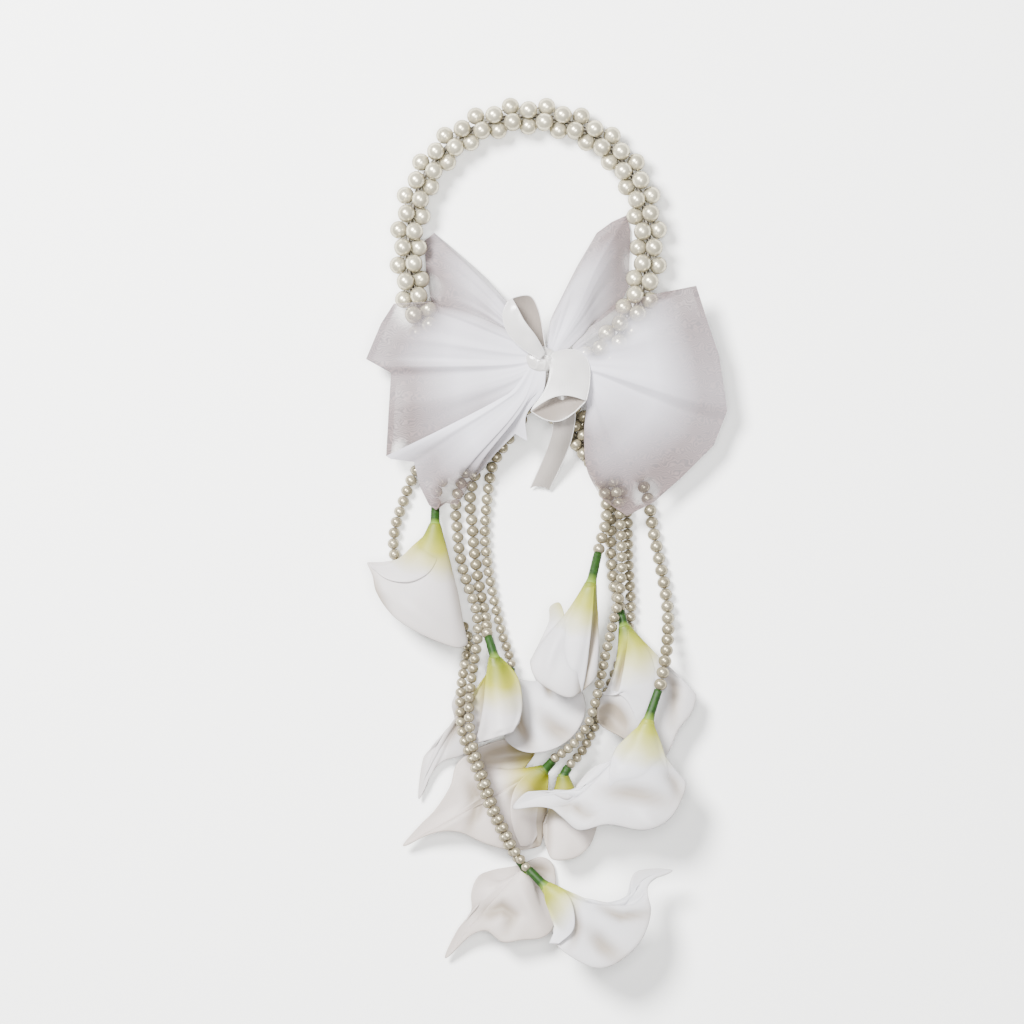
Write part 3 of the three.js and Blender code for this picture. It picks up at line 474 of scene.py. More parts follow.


# Glass beads dipped in pearl lacquer: a hard clear gloss over a soft shell colour that turns
# warmer and darker from bead to bead; the strands' beads are painted darker still as painted shade
def lacquered_glass_pearl(add):
    pearls = settings("pearls")
    tone = add("ShaderNodeAttribute", {"attribute_name": "tone"}).outputs["Fac"]
    # Tone from bead to bead between ivory and warm ivory; the strands' beads sit near the dark end
    # as painted shade
    colour = add("ShaderNodeMix", {"data_type": "RGBA"}, {
        "Factor": tone, 6: pearls.ivory, 7: pearls.warm_shaded_ivory})
    where = add("ShaderNodeTexCoord").outputs["Object"]
    dips = add("ShaderNodeTexNoise", {}, {"Vector": where, "Scale": 1 / (1.6 * MM)})
    skin = add("ShaderNodeBump", {}, {
        "Height": dips.outputs["Fac"], "Distance": 0.02 * MM, "Strength": 0.5})
    return {"Base Color": colour.outputs[2], "Normal": skin.outputs["Normal"],
            "Roughness": 0.27, "IOR": 1.53, "Metallic": 0.62, "Specular Tint": linear("#59554B"),
            "Coat Weight": 0.12, "Coat Roughness": 0.06, "Coat IOR": 1.5}


# Drawn monofilament nylon: grey, half clear, slightly glossy
def drawn_nylon_thread(add):
    grey = settings("pearls").thread_grey
    where = add("ShaderNodeTexCoord").outputs["Object"]
    cloudy = add("ShaderNodeTexNoise", {}, {"Vector": where, "Scale": 1 / (3 * MM)})
    colour = add("ShaderNodeMix", {"data_type": "RGBA"}, {
        "Factor": cloudy.outputs["Fac"], 6: grey, 7: scaled(grey, 0.8)})
    return {"Base Color": colour.outputs[2], "Roughness": 0.4, "IOR": 1.53}


# Drawn steel wire: dull grey metal with fine lengthwise marks
def drawn_steel_wire(add):
    where = add("ShaderNodeTexCoord").outputs["Object"]
    marks = add("ShaderNodeTexNoise", {}, {"Vector": where, "Scale": 1 / (0.6 * MM)}).outputs["Fac"]
    colour = add("ShaderNodeValToRGB", {}, {"Fac": marks}, (
        (0.3, linear("#4B463E")), (0.7, linear("#6E695F"))))
    skin = add("ShaderNodeBump", {}, {"Height": marks, "Distance": 0.02 * MM, "Strength": 1.0})
    return {"Base Color": colour.outputs["Color"], "Normal": skin.outputs["Normal"],
            "Roughness": 0.55, "Metallic": 1.0}


# Woven polyester satin: a smooth face with a broad lengthwise sheen. The loops' inner strips and
# the knot's pleats and tuck are painted a dark grey-brown as painted shade, and the loose end is
# painted darker all over. Its threads lie 0.15 mm apart and are drawn 1.2 mm apart so that they
# show at all.
def woven_polyester_satin(add):
    satin = settings("ribbons").satin
    where = add("ShaderNodeTexCoord").outputs["Object"]
    inside, selvedge = (add("ShaderNodeAttribute", {"attribute_name": name}).outputs["Fac"]
                        for name in ("inside", "selvedge"))
    cloudy = add("ShaderNodeTexNoise", {}, {"Vector": where, "Scale": 1 / (9 * MM), "Detail": 1.0})
    face = add("ShaderNodeValToRGB", {}, {"Fac": cloudy.outputs["Fac"]}, (
        (0.3, scaled(satin, 0.86)), (0.7, satin)))
    # Painted shade: dark grey-brown on the loops' inner strips and in the knot's pleats and tuck;
    # the loose end is painted darker all over
    colour = add("ShaderNodeMix", {"data_type": "RGBA"}, {
        "Factor": inside, 6: face.outputs["Color"], 7: linear("#80776F")})
    colour = add("ShaderNodeMix", {"data_type": "RGBA"}, {
        "Factor": selvedge, 6: colour.outputs[2], 7: scaled(satin, 1.04)})
    threads = add("ShaderNodeTexWave", {"bands_direction": "X"}, {
        "Vector": where, "Scale": BAND_SPACING / (1.1843 * MM), "Distortion": 1.0, "Detail": 1.0})
    skin = add("ShaderNodeBump", {}, {
        "Height": threads.outputs["Fac"], "Distance": 0.03 * MM, "Strength": 0.5})
    return {"Base Color": colour.outputs[2], "Normal": skin.outputs["Normal"],
            "Roughness": 0.27, "IOR": 1.5, "Specular IOR Level": 0.7, "Anisotropic": 0.6,
            "Sheen Weight": 0.25, "Sheen Roughness": 0.35, "Subsurface Weight": 0.1,
            "Subsurface Radius": (1, 1, 1), "Subsurface Scale": 1 * MM}


# Woven polyester organza: a sheer crisp mesh. Gathered or doubled it turns a cool white; single it
# shows a pinkish grey with the crinkled grain of its threads, drawn 1.15 mm wide so that it shows.
def woven_polyester_organza(add):
    ribbons = settings("ribbons")
    single = ribbons.organza_single
    where = add("ShaderNodeTexCoord").outputs["Object"]
    dense, clear, hem = (add("ShaderNodeAttribute", {"attribute_name": name}).outputs["Fac"]
                         for name in ("dense", "clear", "hem"))
    bent = add("ShaderNodeTexNoise", {}, {"Vector": where, "Scale": 1 / (5 * MM), "Detail": 1.0})
    crinkled = add("ShaderNodeVectorMath", {"operation": "MULTIPLY_ADD"}, {
        0: bent.outputs["Color"], 1: (11 * MM,) * 3, 2: where})
    grain = add("ShaderNodeTexWave", {"bands_direction": "Y"}, {
        "Vector": crinkled.outputs[0], "Scale": BAND_SPACING / (1.15 * MM), "Distortion": 1.5,
        "Detail": 1.5, "Detail Scale": 2.0}).outputs["Fac"]
    sheer = add("ShaderNodeMix", {"data_type": "RGBA"}, {
        "Factor": grain, 6: single, 7: scaled(single, 0.4)})
    colour = add("ShaderNodeMix", {"data_type": "RGBA"}, {
        "Factor": dense, 6: sheer.outputs[2], 7: ribbons.organza})

    # It covers more where it is dense, on the threads of a single layer and in its hem, and less
    # where pearls lie tight below it
    cover = add("ShaderNodeMapRange", {}, {"Value": dense, "To Min": 0.87, "To Max": 0.97})
    sparse = add("ShaderNodeMath", {"operation": "SUBTRACT", "use_clamp": True}, {0: 1.0, 1: dense})
    threads = add("ShaderNodeMath", {"operation": "MULTIPLY"}, {0: grain, 1: sparse.outputs[0]})
    for part, weight in ((clear, -0.68), (threads.outputs[0], 0.1), (hem, 0.3)):
        cover = add("ShaderNodeMath", {"operation": "MULTIPLY_ADD", "use_clamp": True}, {
            0: part, 1: weight, 2: cover.outputs[0]})
    skin = add("ShaderNodeBump", {}, {"Height": grain, "Distance": 0.06 * MM, "Strength": 0.3})
    return {"Base Color": colour.outputs[2], "Normal": skin.outputs["Normal"],
            "Alpha": cover.outputs[0], "Roughness": 0.6, "IOR": 1.45,
            "Sheen Weight": 0.2, "Sheen Roughness": 0.4}


# Pressed soft-touch foam: a matt skin that light enters a little, lime at the neck that fades to
# white, a white painted darker grey as painted shade in its folds and towards its rim, and a
# warmer white in the flowers that lie behind
def pressed_foam_petal(add):
    lilies = settings("lilies")
    where = add("ShaderNodeTexCoord").outputs["Object"]
    warmth, shade, reach = (add("ShaderNodeAttribute", {"attribute_name": name}).outputs["Fac"]
                            for name in ("warmth", "shade", "reach"))
    white = add("ShaderNodeMix", {"data_type": "RGBA"}, {
        "Factor": warmth, 6: lilies.white, 7: lilies.warm_white})
    # Painted shade: the white turns a dark warm grey where folds press in and towards the rim
    white = add("ShaderNodeMix", {"data_type": "RGBA"}, {
        "Factor": shade, 6: white.outputs[2], 7: linear("#857A6C")})
    cloudy = add("ShaderNodeTexNoise", {}, {"Vector": where, "Scale": 1 / (12 * MM), "Detail": 1.0})
    edge = add("ShaderNodeMath", {"operation": "MULTIPLY_ADD"}, {
        0: cloudy.outputs["Fac"], 1: 0.3, 2: reach})
    tint = add("ShaderNodeValToRGB", {}, {"Fac": edge.outputs[0]}, (
        (0.18, linear("#55761A")), (0.32, lilies.lime), (0.52, linear("#C8CB42")),
        (0.72, linear("#E9E7A6")), (0.98, linear("#FFFFFF"))))
    colour = add("ShaderNodeMix", {"data_type": "RGBA", "blend_type": "MULTIPLY"}, {
        "Factor": 1.0, 6: white.outputs[2], 7: tint.outputs["Color"]})
    pores = add("ShaderNodeTexNoise", {}, {"Vector": where, "Scale": 1 / (0.7 * MM)})
    skin = add("ShaderNodeBump", {}, {
        "Height": pores.outputs["Fac"], "Distance": 0.03 * MM, "Strength": 0.4})
    return {"Base Color": colour.outputs[2], "Normal": skin.outputs["Normal"],
            "Roughness": 0.5, "IOR": 1.45, "Specular IOR Level": 0.4, "Subsurface Weight": 0.2,
            "Subsurface Radius": (1.0, 0.9, 0.8), "Subsurface Scale": 1.5 * MM}


# Stretched paper floral tape over wire: waxy green with darker and lighter wrinkles, limy where it
# meets the flower
def waxed_floral_tape(add):
    green = settings("lilies").green
    where = add("ShaderNodeTexCoord").outputs["Object"]
    along = add("ShaderNodeAttribute", {"attribute_name": "along"}).outputs["Fac"]
    wrinkles = add("ShaderNodeTexNoise", {}, {
        "Vector": where, "Scale": 1 / (1.2 * MM), "Detail": 3.0, "Distortion": 0.4}).outputs["Fac"]
    tape = add("ShaderNodeValToRGB", {}, {"Fac": wrinkles}, (
        (0.25, scaled(green, 0.45)), (0.7, green), (0.95, scaled(green, 1.8))))
    fade = add("ShaderNodeMapRange", {}, {
        "Value": along, "From Min": 0.7, "From Max": 1.05, "To Max": 0.75})
    colour = add("ShaderNodeMix", {"data_type": "RGBA"}, {
        "Factor": fade.outputs[0], 6: tape.outputs["Color"], 7: linear("#7C962F")})
    skin = add("ShaderNodeBump", {}, {"Height": wrinkles, "Distance": 0.12 * MM, "Strength": 1.0})
    return {"Base Color": colour.outputs[2], "Normal": skin.outputs["Normal"],
            "Roughness": 0.55, "IOR": 1.47, "Specular IOR Level": 0.3}


# Foam rod flocked with fine yellow powder: matt and grainy
def flocked_foam_spadix(add):
    where = add("ShaderNodeTexCoord").outputs["Object"]
    flock = add("ShaderNodeTexNoise", {}, {"Vector": where, "Scale": 1 / (0.5 * MM)})
    grains = flock.outputs["Fac"]
    colour = add("ShaderNodeValToRGB", {}, {"Fac": grains}, (
        (0.3, linear("#C79A26")), (0.7, linear("#F0D457"))))
    skin = add("ShaderNodeBump", {}, {"Height": grains, "Distance": 0.25 * MM, "Strength": 1.0})
    return {"Base Color": colour.outputs["Color"], "Normal": skin.outputs["Normal"],
            "Roughness": 0.95, "Sheen Weight": 0.5, "IOR": 1.45}


# Matt painted board: plain near-white
def matt_painted_board(add):
    floor = settings("stage").floor
    where = add("ShaderNodeTexCoord").outputs["Object"]
    cloudy = add("ShaderNodeTexNoise", {}, {
        "Vector": where, "Scale": 1 / (300 * MM), "Detail": 1.0})
    colour = add("ShaderNodeValToRGB", {}, {"Fac": cloudy.outputs["Fac"]}, (
        (0.0, floor), (1.0, scaled(floor, 0.985))))
    return {"Base Color": colour.outputs["Color"], "Roughness": 0.9, "Specular IOR Level": 0.1}


# Each finish's function adds the nodes of the material it is named for, and gives its shader's
# inputs
FINISHES = {
    "pearl": lacquered_glass_pearl, "thread": drawn_nylon_thread, "steel": drawn_steel_wire,
    "satin": woven_polyester_satin, "organza": woven_polyester_organza,
    "petal": pressed_foam_petal, "tape": waxed_floral_tape, "spadix": flocked_foam_spadix,
    "board": matt_painted_board,
}
made_materials = {}


def finish_of(name):
    """A finish's material, made the first time that it is asked for."""
    if name not in made_materials:
        inputs_of = FINISHES[name]
        material = bpy.data.materials.new(inputs_of.__name__)
        material.use_nodes = True
        material.node_tree.nodes.clear()
        add = partial(add_node, material.node_tree)
        shader = add("ShaderNodeBsdfPrincipled", {}, inputs_of(add))
        add("ShaderNodeOutputMaterial", {}, {"Surface": shader.outputs[0]})
        made_materials[name] = material
    return made_materials[name]


def between(low, high, share):
    return low + (high - low) * share


def catmull_rom(points, where, closed=False):
    """The point at where, counted in points, on a centripetal Catmull-Rom line."""
    count = len(points)
    index = math.floor(where) if closed else min(math.floor(where), count - 2)
    share = where - index

    def at(i):
        if closed or 0 <= i < count:
            return points[i % count]
        return 2 * points[0] - points[1] if i < 0 else 2 * points[-1] - points[-2]

    p0, p1, p2, p3 = (at(index + step) for step in (-1, 0, 1, 2))
    d0, d1, d2 = (max((b - a).length ** 0.5, 1e-6) for a, b in ((p0, p1), (p1, p2), (p2, p3)))
    t1 = ((p1 - p0) / d0 - (p2 - p0) / (d0 + d1) + (p2 - p1) / d1) * d1
    t2 = ((p2 - p1) / d1 - (p3 - p1) / (d1 + d2) + (p3 - p2) / d2) * d1
    s2, s3 = share * share, share ** 3
    return (p1 * (2 * s3 - 3 * s2 + 1) + t1 * (s3 - 2 * s2 + share)
            + p2 * (3 * s2 - 2 * s3) + t2 * (s3 - s2))


class Route:
    """A line through places, smooth or with corners, measured along its length."""

    def __init__(self, places, closed=False, steps=40):
        points = [place(*p) for p in places]
        spans = len(points) if closed else len(points) - 1
        self.samples = [catmull_rom(points, i / steps, closed) for i in range(spans * steps + 1)]
        self.travelled = [0.0]
        for a, b in zip(self.samples, self.samples[1:]):
            self.travelled.append(self.travelled[-1] + (b - a).length)
        self.length = self.travelled[-1]
        self.closed = closed

    def at(self, distance):
        """The point and direction at a distance from the start."""
        distance = distance % self.length if self.closed else min(max(distance, 0), self.length)
        low = min(bisect_right(self.travelled, distance) - 1, len(self.travelled) - 2)
        span = self.travelled[low + 1] - self.travelled[low]
        share = (distance - self.travelled[low]) / span if span else 0
        before = self.samples[max(low - 1, 0)]
        after = self.samples[min(low + 2, len(self.samples) - 1)]
        point = self.samples[low].lerp(self.samples[low + 1], share)
        return point, (after - before).normalized()

    def at_share(self, share):
        return self.at(share * self.length)[0]

    def evenly(self, steps):
        """Points at even steps from start to end, or all round."""
        count = steps if self.closed else steps + 1
        return [self.at(self.length * i / steps)[0] for i in range(count)]


class Shape:
    """Points and faces gathered for one mesh, with named values on the points."""

    def __init__(self):
        self.points = []
        self.faces = []
        self.slots = []
        self.values = {}

    def grid(self, rows, round_columns=False, round_rows=False, slot=0, capped=False, values=()):
        """Adds rows of points joined by quads. values maps names to functions of row and column."""
        start = len(self.points)
        width = len(rows[0])
        for row in rows:
            self.points.extend(row)
        for r in range(len(rows) if round_rows else len(rows) - 1):
            here = start + r * width
            there = start + (r + 1) % len(rows) * width
            for c in range(width if round_columns else width - 1):
                d = (c + 1) % width
                self.faces.append((here + c, here + d, there + d, there + c))
                self.slots.append(slot)
        if capped:
            self.faces.append(tuple(start + c for c in reversed(range(width))))
            self.faces.append(tuple(start + (len(rows) - 1) * width + c for c in range(width)))
            self.slots.extend((slot, slot))
        for name, function in dict(values).items():
            stored = self.values.setdefault(name, {})
            for r in range(len(rows)):
                for c in range(width):
                    stored[start + r * width + c] = function(r, c)

    def build(self, name, finishes):
        mesh = bpy.data.meshes.new(name)
        mesh.from_pydata([tuple(p) for p in self.points], [], self.faces)
        mesh.polygons.foreach_set("material_index", self.slots)
        mesh.polygons.foreach_set("use_smooth", [True] * len(mesh.polygons))
        for finish in finishes:
            mesh.materials.append(finish_of(finish))
        for value, stored in self.values.items():
            data = mesh.attributes.new(value, "FLOAT", "POINT").data
            data.foreach_set("value", [stored.get(i, 0.0) for i in range(len(self.points))])
        mesh.update()
        return add_to_scene(name, mesh)


def dress(made, body, node):
    """Lets a piece ride on a body in a CAD node's place."""
    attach(made, body)
    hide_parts(node)


def ring_at(centre, travel, side, radius, sides):
    """A ring of points square to travel, its first point towards side."""
    travel = travel.normalized()
    first = (side - travel * side.dot(travel)).normalized()
    second = travel.cross(first)
    return [centre + first * radius * math.cos(math.tau * i / sides)
            + second * radius * math.sin(math.tau * i / sides) for i in range(sides)]


def across_of(travel):
    return UP if abs(travel.z) < 0.9 else Vector((1, 0, 0))


# Angles from one end of a pearl's bore to the other at which it has a ring. The bore and how far
# out its ends lie are shares of the pearl's radius.
PEARL_LATITUDES = (0.16, 0.3, 0.55, 0.85, 1.2, 1.571, 1.94, 2.29, 2.59, 2.84, 2.98)
PEARL_BORE = 0.12
PEARL_BORE_END = 0.9

# How warm pearls are, from the palest to the warmest. The strands' pearls lie near the warm, dark
# end as painted shade.
HOOP_TONES = (0.22, 0.5)
STRAND_SHADED_TONES = (0.8, 1.0)


def add_pearl(shape, centre, travel, radius, tone, sides=20, swell=1.0):
    """One bead, swell times as wide as long, with a small dimple at both ends of its bore."""
    side = across_of(travel)
    ends = [ring_at(centre + travel * radius * way, travel, side, radius * PEARL_BORE, sides)
            for way in (-PEARL_BORE_END, PEARL_BORE_END)]
    rings = [ring_at(centre - travel * radius * math.cos(angle), travel, side,
                     radius * swell * math.sin(angle), sides) for angle in PEARL_LATITUDES]
    shape.grid([ends[0], *rings, ends[1]], round_columns=True, capped=True,
               values={"tone": lambda r, c: tone})


def add_tube(shape, points, radius, sides=8, closed=False, slot=0):
    """A tube through points."""
    rings = []
    count = len(points)
    for i, point in enumerate(points):
        before = points[i - 1] if closed or i else point
        after = points[(i + 1) % count] if closed or i + 1 < count else point
        travel = after - before
        rings.append(ring_at(point, travel, across_of(travel.normalized()), radius, sides))
    shape.grid(rings, round_columns=True, round_rows=closed, slot=slot, capped=not closed)


def rope_centres(number):
    """The pearls' centres of one of the hoop's strings, which wind about the core wire."""
    route = Route(ROPE_ROUTE, closed=True)
    turns = math.floor(route.length / (ROPE_LAYER_PITCH * ROPE_LAYERS_A_TURN))
    layers = turns * ROPE_LAYERS_A_TURN
    centres = []
    for layer in range(layers):
        middle, along = route.at(route.length * layer / layers)
        in_plane = along.cross(UP).normalized()
        square = in_plane.cross(along).normalized()
        angle = math.tau * (layer / ROPE_LAYERS_A_TURN + number / ROPE_STRINGS)
        out = in_plane * math.cos(angle) + square * math.sin(angle)
        centres.append(middle + out * ROPE_HELIX)
    return centres


def hoop_string(number):
    pearls = settings("pearls")
    chance = random.Random(f"hoop string {number}")
    shape = Shape()
    centres = rope_centres(number)
    for i, centre in enumerate(centres):
        travel = (centres[(i + 1) % len(centres)] - centres[i - 1]).normalized()
        radius = pearls.rope_pearl / 2 * chance.uniform(0.975, 1.0)
        add_pearl(shape, centre, travel, radius, between(*HOOP_TONES, chance.random()))
    add_tube(shape, centres, pearls.thread / 2, closed=True, slot=1)
    made = shape.build(f"pearl_rope_{number + 1}", ("pearl", "thread"))
    dress(made, "hoop", f"hoop_pearl_string_{number + 1}")


CORE_RADIUS = 1.1 * MM
STRAND_STEPS = 120
STRAND_GAP = 0.15 * MM

# Strand pearls sit so close that they touch, and are a little wider than long
STRAND_PEARL_LENGTH = 1.02
STRAND_PEARL_SWELL = 1.1


def core_wire():
    shape = Shape()
    add_tube(shape, Route(ROPE_ROUTE, closed=True).evenly(180), CORE_RADIUS, sides=12, closed=True)
    dress(shape.build("core_wire", ("steel",)), "hoop", "hoop_core_wire")


def pearl_size(share):
    """The diameter of a strand's pearl, share of the way from large to small."""
    pearls = settings("pearls")
    return between(pearls.strand_pearl, pearls.small_pearl, share)


def strand_pearls(number, sizes, route):
    """Where a strand's pearls sit along its route: distance, radius and tone."""
    def diameter_at(share):
        return pearl_size(between(*sizes, share))

    mean_pitch = (diameter_at(0) + diameter_at(1)) / 2 + STRAND_GAP
    count = round(route.length / mean_pitch + 0.5)
    diameters = [diameter_at(i / (count - 1)) for i in range(count)]
    pitches = [diameter + STRAND_GAP for diameter in diameters]
    pitches[0] /= 2
    stretch = route.length / sum(pitches)
    chance = random.Random(f"strand {number}")
    travelled = 0
    for diameter, pitch in zip(diameters, pitches):
        travelled += pitch * stretch
        yield travelled, diameter / 2 * chance.uniform(0.97, 1.0), chance.random()


def pearl_strand(number):
    sizes, places = STRANDS[number]
    route = Route(places)
    shape = Shape()
    for distance, radius, tone in strand_pearls(number, sizes, route):
        centre, travel = route.at(distance)
        # The strands' beads take the darker tones, a painted shade
        add_pearl(shape, centre, travel, radius * STRAND_PEARL_LENGTH,
                  between(*STRAND_SHADED_TONES, tone), sides=18, swell=STRAND_PEARL_SWELL)
    path = route.evenly(STRAND_STEPS)
    add_tube(shape, path, settings("pearls").thread / 2, slot=1)
    made = shape.build(f"pearl_strand_{number}.beads", ("pearl", "thread"))
    dress(made, "cascade", f"pearl_strand_{number}")
    tuple(path[0])
    [tuple(p) for p in path]


def axes_of(flower):
    """A flower's neck, and its directions along its axis, to its side and up."""
    neck = place(*flower["neck"])
    along = (place(*flower["belly"][0]) - neck).normalized()
    side = UP.cross(along).normalized()
    return neck, along, side, along.cross(side)


def bezier(a, b, c, d, t):
    u = 1 - t
    return a * u ** 3 + b * (3 * u * u * t) + c * (3 * u * t * t) + d * t ** 3


def funnel_rows(flower, neck_diameter, around, steps, bends=()):
    """Rings of a spathe from neck to rim. Near a rim point with a bend, lines pass through it."""
    neck, along, side, up = axes_of(flower)
    centre, half_width, half_depth = flower["belly"]
    belly = place(*centre)
    half_width *= PLACE
    half_depth *= PLACE
    rim = flower["rim"]
    rim_points = [place(*at) for _, *at in rim]
    degrees = [entry[0] for entry in rim] + [360]
    lines = []
    for j in range(around):
        where = j * len(rim) / around
        index = int(where)
        angle = math.radians(between(degrees[index], degrees[index + 1], where - index))

        def across(width, depth):
            return side * (width * math.cos(angle)) + up * (depth * math.sin(angle))

        start = neck + across(neck_diameter / 2, neck_diameter / 2)
        shoulder = neck + along * ((belly - neck).length / 2) + across(
            (neck_diameter + half_width) / 3, (neck_diameter + half_depth) / 3)
        swell = belly + across(half_width, half_depth)
        end = catmull_rom(rim_points, where, True)
        line = [bezier(start, shoulder, swell, end, i / steps) for i in range(steps + 1)]
        for number, bend in dict(bends).items():
            apart = abs(where - number)
            share = max(0, 1 - min(apart, len(rim) - apart))
            if share:
                stops = [start, line[steps // 4], *(place(*at) for at in bend), end]
                spans = len(stops) - 1
                bent = [catmull_rom(stops, spans * i / steps) for i in range(steps + 1)]
                line = [a.lerp(b, share) for a, b in zip(line, bent)]
        lines.append(line)
    return [list(row) for row in zip(*lines)]


SPATHE_AROUND = 96
SPATHE_STEPS = 30
RIPPLE = 1.1 * MM
RIPPLES_A_METRE = 70

# How deep a fold is where its painted shade is full, and the painted shade at the rim
FULL_SHADE = 2 * MM
RIM_SHADE = 0.3

# How far a lobe lies off the petal, starts below it where it melts and ends below it where it
# sinks. Its lift starts as a share of the whole and grows along it.
LOBE_STEPS = 30
LOBE_COLUMNS = 16
LOBE_START = 0.12
LOBE_GROWTH = 1.6
LOBE_CLEARANCE = 0.35 * MM
LOBE_MELT = 2.5 * MM
LOBE_SINK = 2.4 * MM
ABOVE_ALL = 0.3

# A stem starts just within its pearl's skin, bends, tapers, flares and ends in its neck
STEM_START = 0.98
STEM_INTO_NECK = 0.6 * MM
STEM_BEND = 0.12
STEM_TAPER = (0.86, 0.96)
STEM_FLARE_FROM = 0.7

# How rough tape and flock are, and how fine the flock's grains
ROUGHNESS = 0.12 * MM
GRAINS_A_METRE = 2200


def normal_at(rows, r, c):
    """The normal of a ringed grid of points."""
    across = rows[r][(c + 1) % len(rows[r])] - rows[r][c - 1]
    along = rows[min(r + 1, len(rows) - 1)][c] - rows[max(r - 1, 0)][c]
    return across.cross(along).normalized()


def rippled(rows, seed):
    """Moves the rows' points along their normals by smooth noise that grows towards the rim."""
    start = Vector((seed * 3.1, seed * 1.7, seed))
    return [[point + normal_at(rows, r, c) * noise.noise(point * RIPPLES_A_METRE + start)
             * RIPPLE * (r / (len(rows) - 1)) ** 1.5 for c, point in enumerate(row)]
            for r, row in enumerate(rows)]


def even_shares(steps):
    return [i / steps for i in range(steps + 1)]


def patch(start, end, left, right, steps, shares):
    """Rows of points over a patch between four routes: start and end run from left to right, left
    and right run from start to end."""
    corners = [route.at_share(s) for route in (start, end) for s in (0, 1)]
    first, last = ([route.at_share(s) for s in shares] for route in (start, end))
    rows = []
    for t in even_shares(steps):
        here, there = left.at_share(t), right.at_share(t)
        row = []
        for s, a, b in zip(shares, first, last):
            corner = corners[0].lerp(corners[1], s).lerp(corners[2].lerp(corners[3], s), t)
            row.append(a.lerp(b, t) + here.lerp(there, s) - corner)
        rows.append(row)
    return rows


def thicken(made, thickness, offset):
    """Gives a sheet its thickness and rounds it."""
    shell = made.modifiers.new("thickness", "SOLIDIFY")
    shell.thickness = thickness
    shell.offset = offset
    rounding = made.modifiers.new("rounding", "SUBSURF")
    rounding.levels = rounding.render_levels = 1


def lily_body(number):
    name = f"lily_{number}"
    return name if name in frame["bodies"] else "cascade"


def near_line(point, a, b):
    """The flat distance from a point to a line, and the share of the way along it."""
    along = b - a
    share = min(max((point - a).dot(along) / along.length_squared, 0), 1)
    return (point - a.lerp(b, share)).length, share


def folded(rows, folds):
    """Presses folds into the upper side of a spathe. Gives its rows and each point's painted shade.
    """
    lines = [([place(*p, 0).xy for p in fold[:-2]], fold[-2] * PLACE, fold[-1] * PLACE)
             for fold in folds]
    moved = []
    shades = []
    for r, row in enumerate(rows):
        line = []
        for c, point in enumerate(row):
            drop = 0
            for fold, half_width, depth in lines:
                spans = len(fold) - 1
                (distance, share), i = min((near_line(point.xy, fold[i], fold[i + 1]), i)
                                           for i in range(spans))
                whole = (i + share) / spans
                swell = math.sin(math.pi * between(0.12, 0.88, whole)) if 0 < whole < 1 else 0.37
                drop += depth * swell * math.exp(-(distance / half_width) ** 2)
            line.append(point - UP * drop * max(0, normal_at(rows, r, c).z) ** 0.5)
            # Painted shade: the deeper a fold presses in, and the nearer the rim, the darker the
            # petal is painted
            shades.append(max(0, drop) / FULL_SHADE + RIM_SHADE * (r / (len(rows) - 1)) ** 10)
        moved.append(line)
    return moved, shades


def draped(lobe, body, neck):
    """A lobe's rows, laid on the spathe's upper side at its lift."""
    first, last = ([(*edge[i], 0) for edge in lobe["edges"]] for i in (0, -1))
    last[1:1] = [(*p, 0) for p in lobe.get("end", ())]
    left, right = (Route([(*p, 0) for p in edge]) for edge in lobe["edges"])
    shares = even_shares(LOBE_COLUMNS)
    rows = patch(Route(first), Route(last), left, right, LOBE_STEPS, shares)
    heights = []
    for row in rows:
        hits = (body.ray_cast(Vector((*point.xy, ABOVE_ALL)), -UP)[0]
                or body.find_nearest(Vector((*point.xy, neck.z)))[0] for point in row)
        heights.append([hit.z for hit in hits])
    for r, row in enumerate(rows):
        along = r / LOBE_STEPS
        for c, point in enumerate(row):
            around = [z for line in heights[max(r - 2, 0):r + 3] for z in line[max(c - 2, 0):c + 3]]
            grown = min(1, LOBE_START + LOBE_GROWTH * along)
            lift = between(*lobe["lift"], shares[c]) * PLACE * grown + LOBE_CLEARANCE
            if lobe.get("melts"):
                lift -= LOBE_MELT * max(0, 1 - LOBE_GROWTH * along)
            if lobe.get("sinks"):
                lift -= LOBE_SINK * along ** 3
            point.z = sum(around) / len(around) + lift
    return rows


def spathe(number):
    """A spathe: its funnel with its folds, and the lobe of its margin that laps over the front."""
    flower = LILIES[number]
    lilies = settings("lilies")
    shape = Shape()
    rows = funnel_rows(flower, lilies.neck, SPATHE_AROUND, SPATHE_STEPS,
                       TAIL_BENDS.get(number, ()))
    rows, shades = folded(rippled(rows, number), FOLDS.get(number, ()))
    neck = place(*flower["neck"])
    shape.grid(rows, round_columns=True)
    body = BVHTree.FromPolygons(shape.points, shape.faces)
    if number in LOBES:
        shape.grid(draped(LOBES[number], body, neck))
    pale = flower.get("pale", 0)
    fade = lilies.fade * flower.get("fade", 1)
    reach = {i: pale + (point - neck).length / fade for i, point in enumerate(shape.points)}
    shape.values = {"reach": reach, "warmth": dict.fromkeys(reach, flower["warmth"]),
                    "shade": dict(enumerate(shades))}
    made = shape.build(f"spathe_{number}.petal", ("petal",))
    thicken(made, lilies.thickness, -1)
    dress(made, lily_body(number), f"spathe_{number}")


def roughened(ring, centre, noise_at):
    """A ring with its points moved away from its centre by noise, from index and point."""
    return [p + (p - centre).normalized() * ROUGHNESS * noise.noise(noise_at(k, p))
            for k, p in enumerate(ring)]


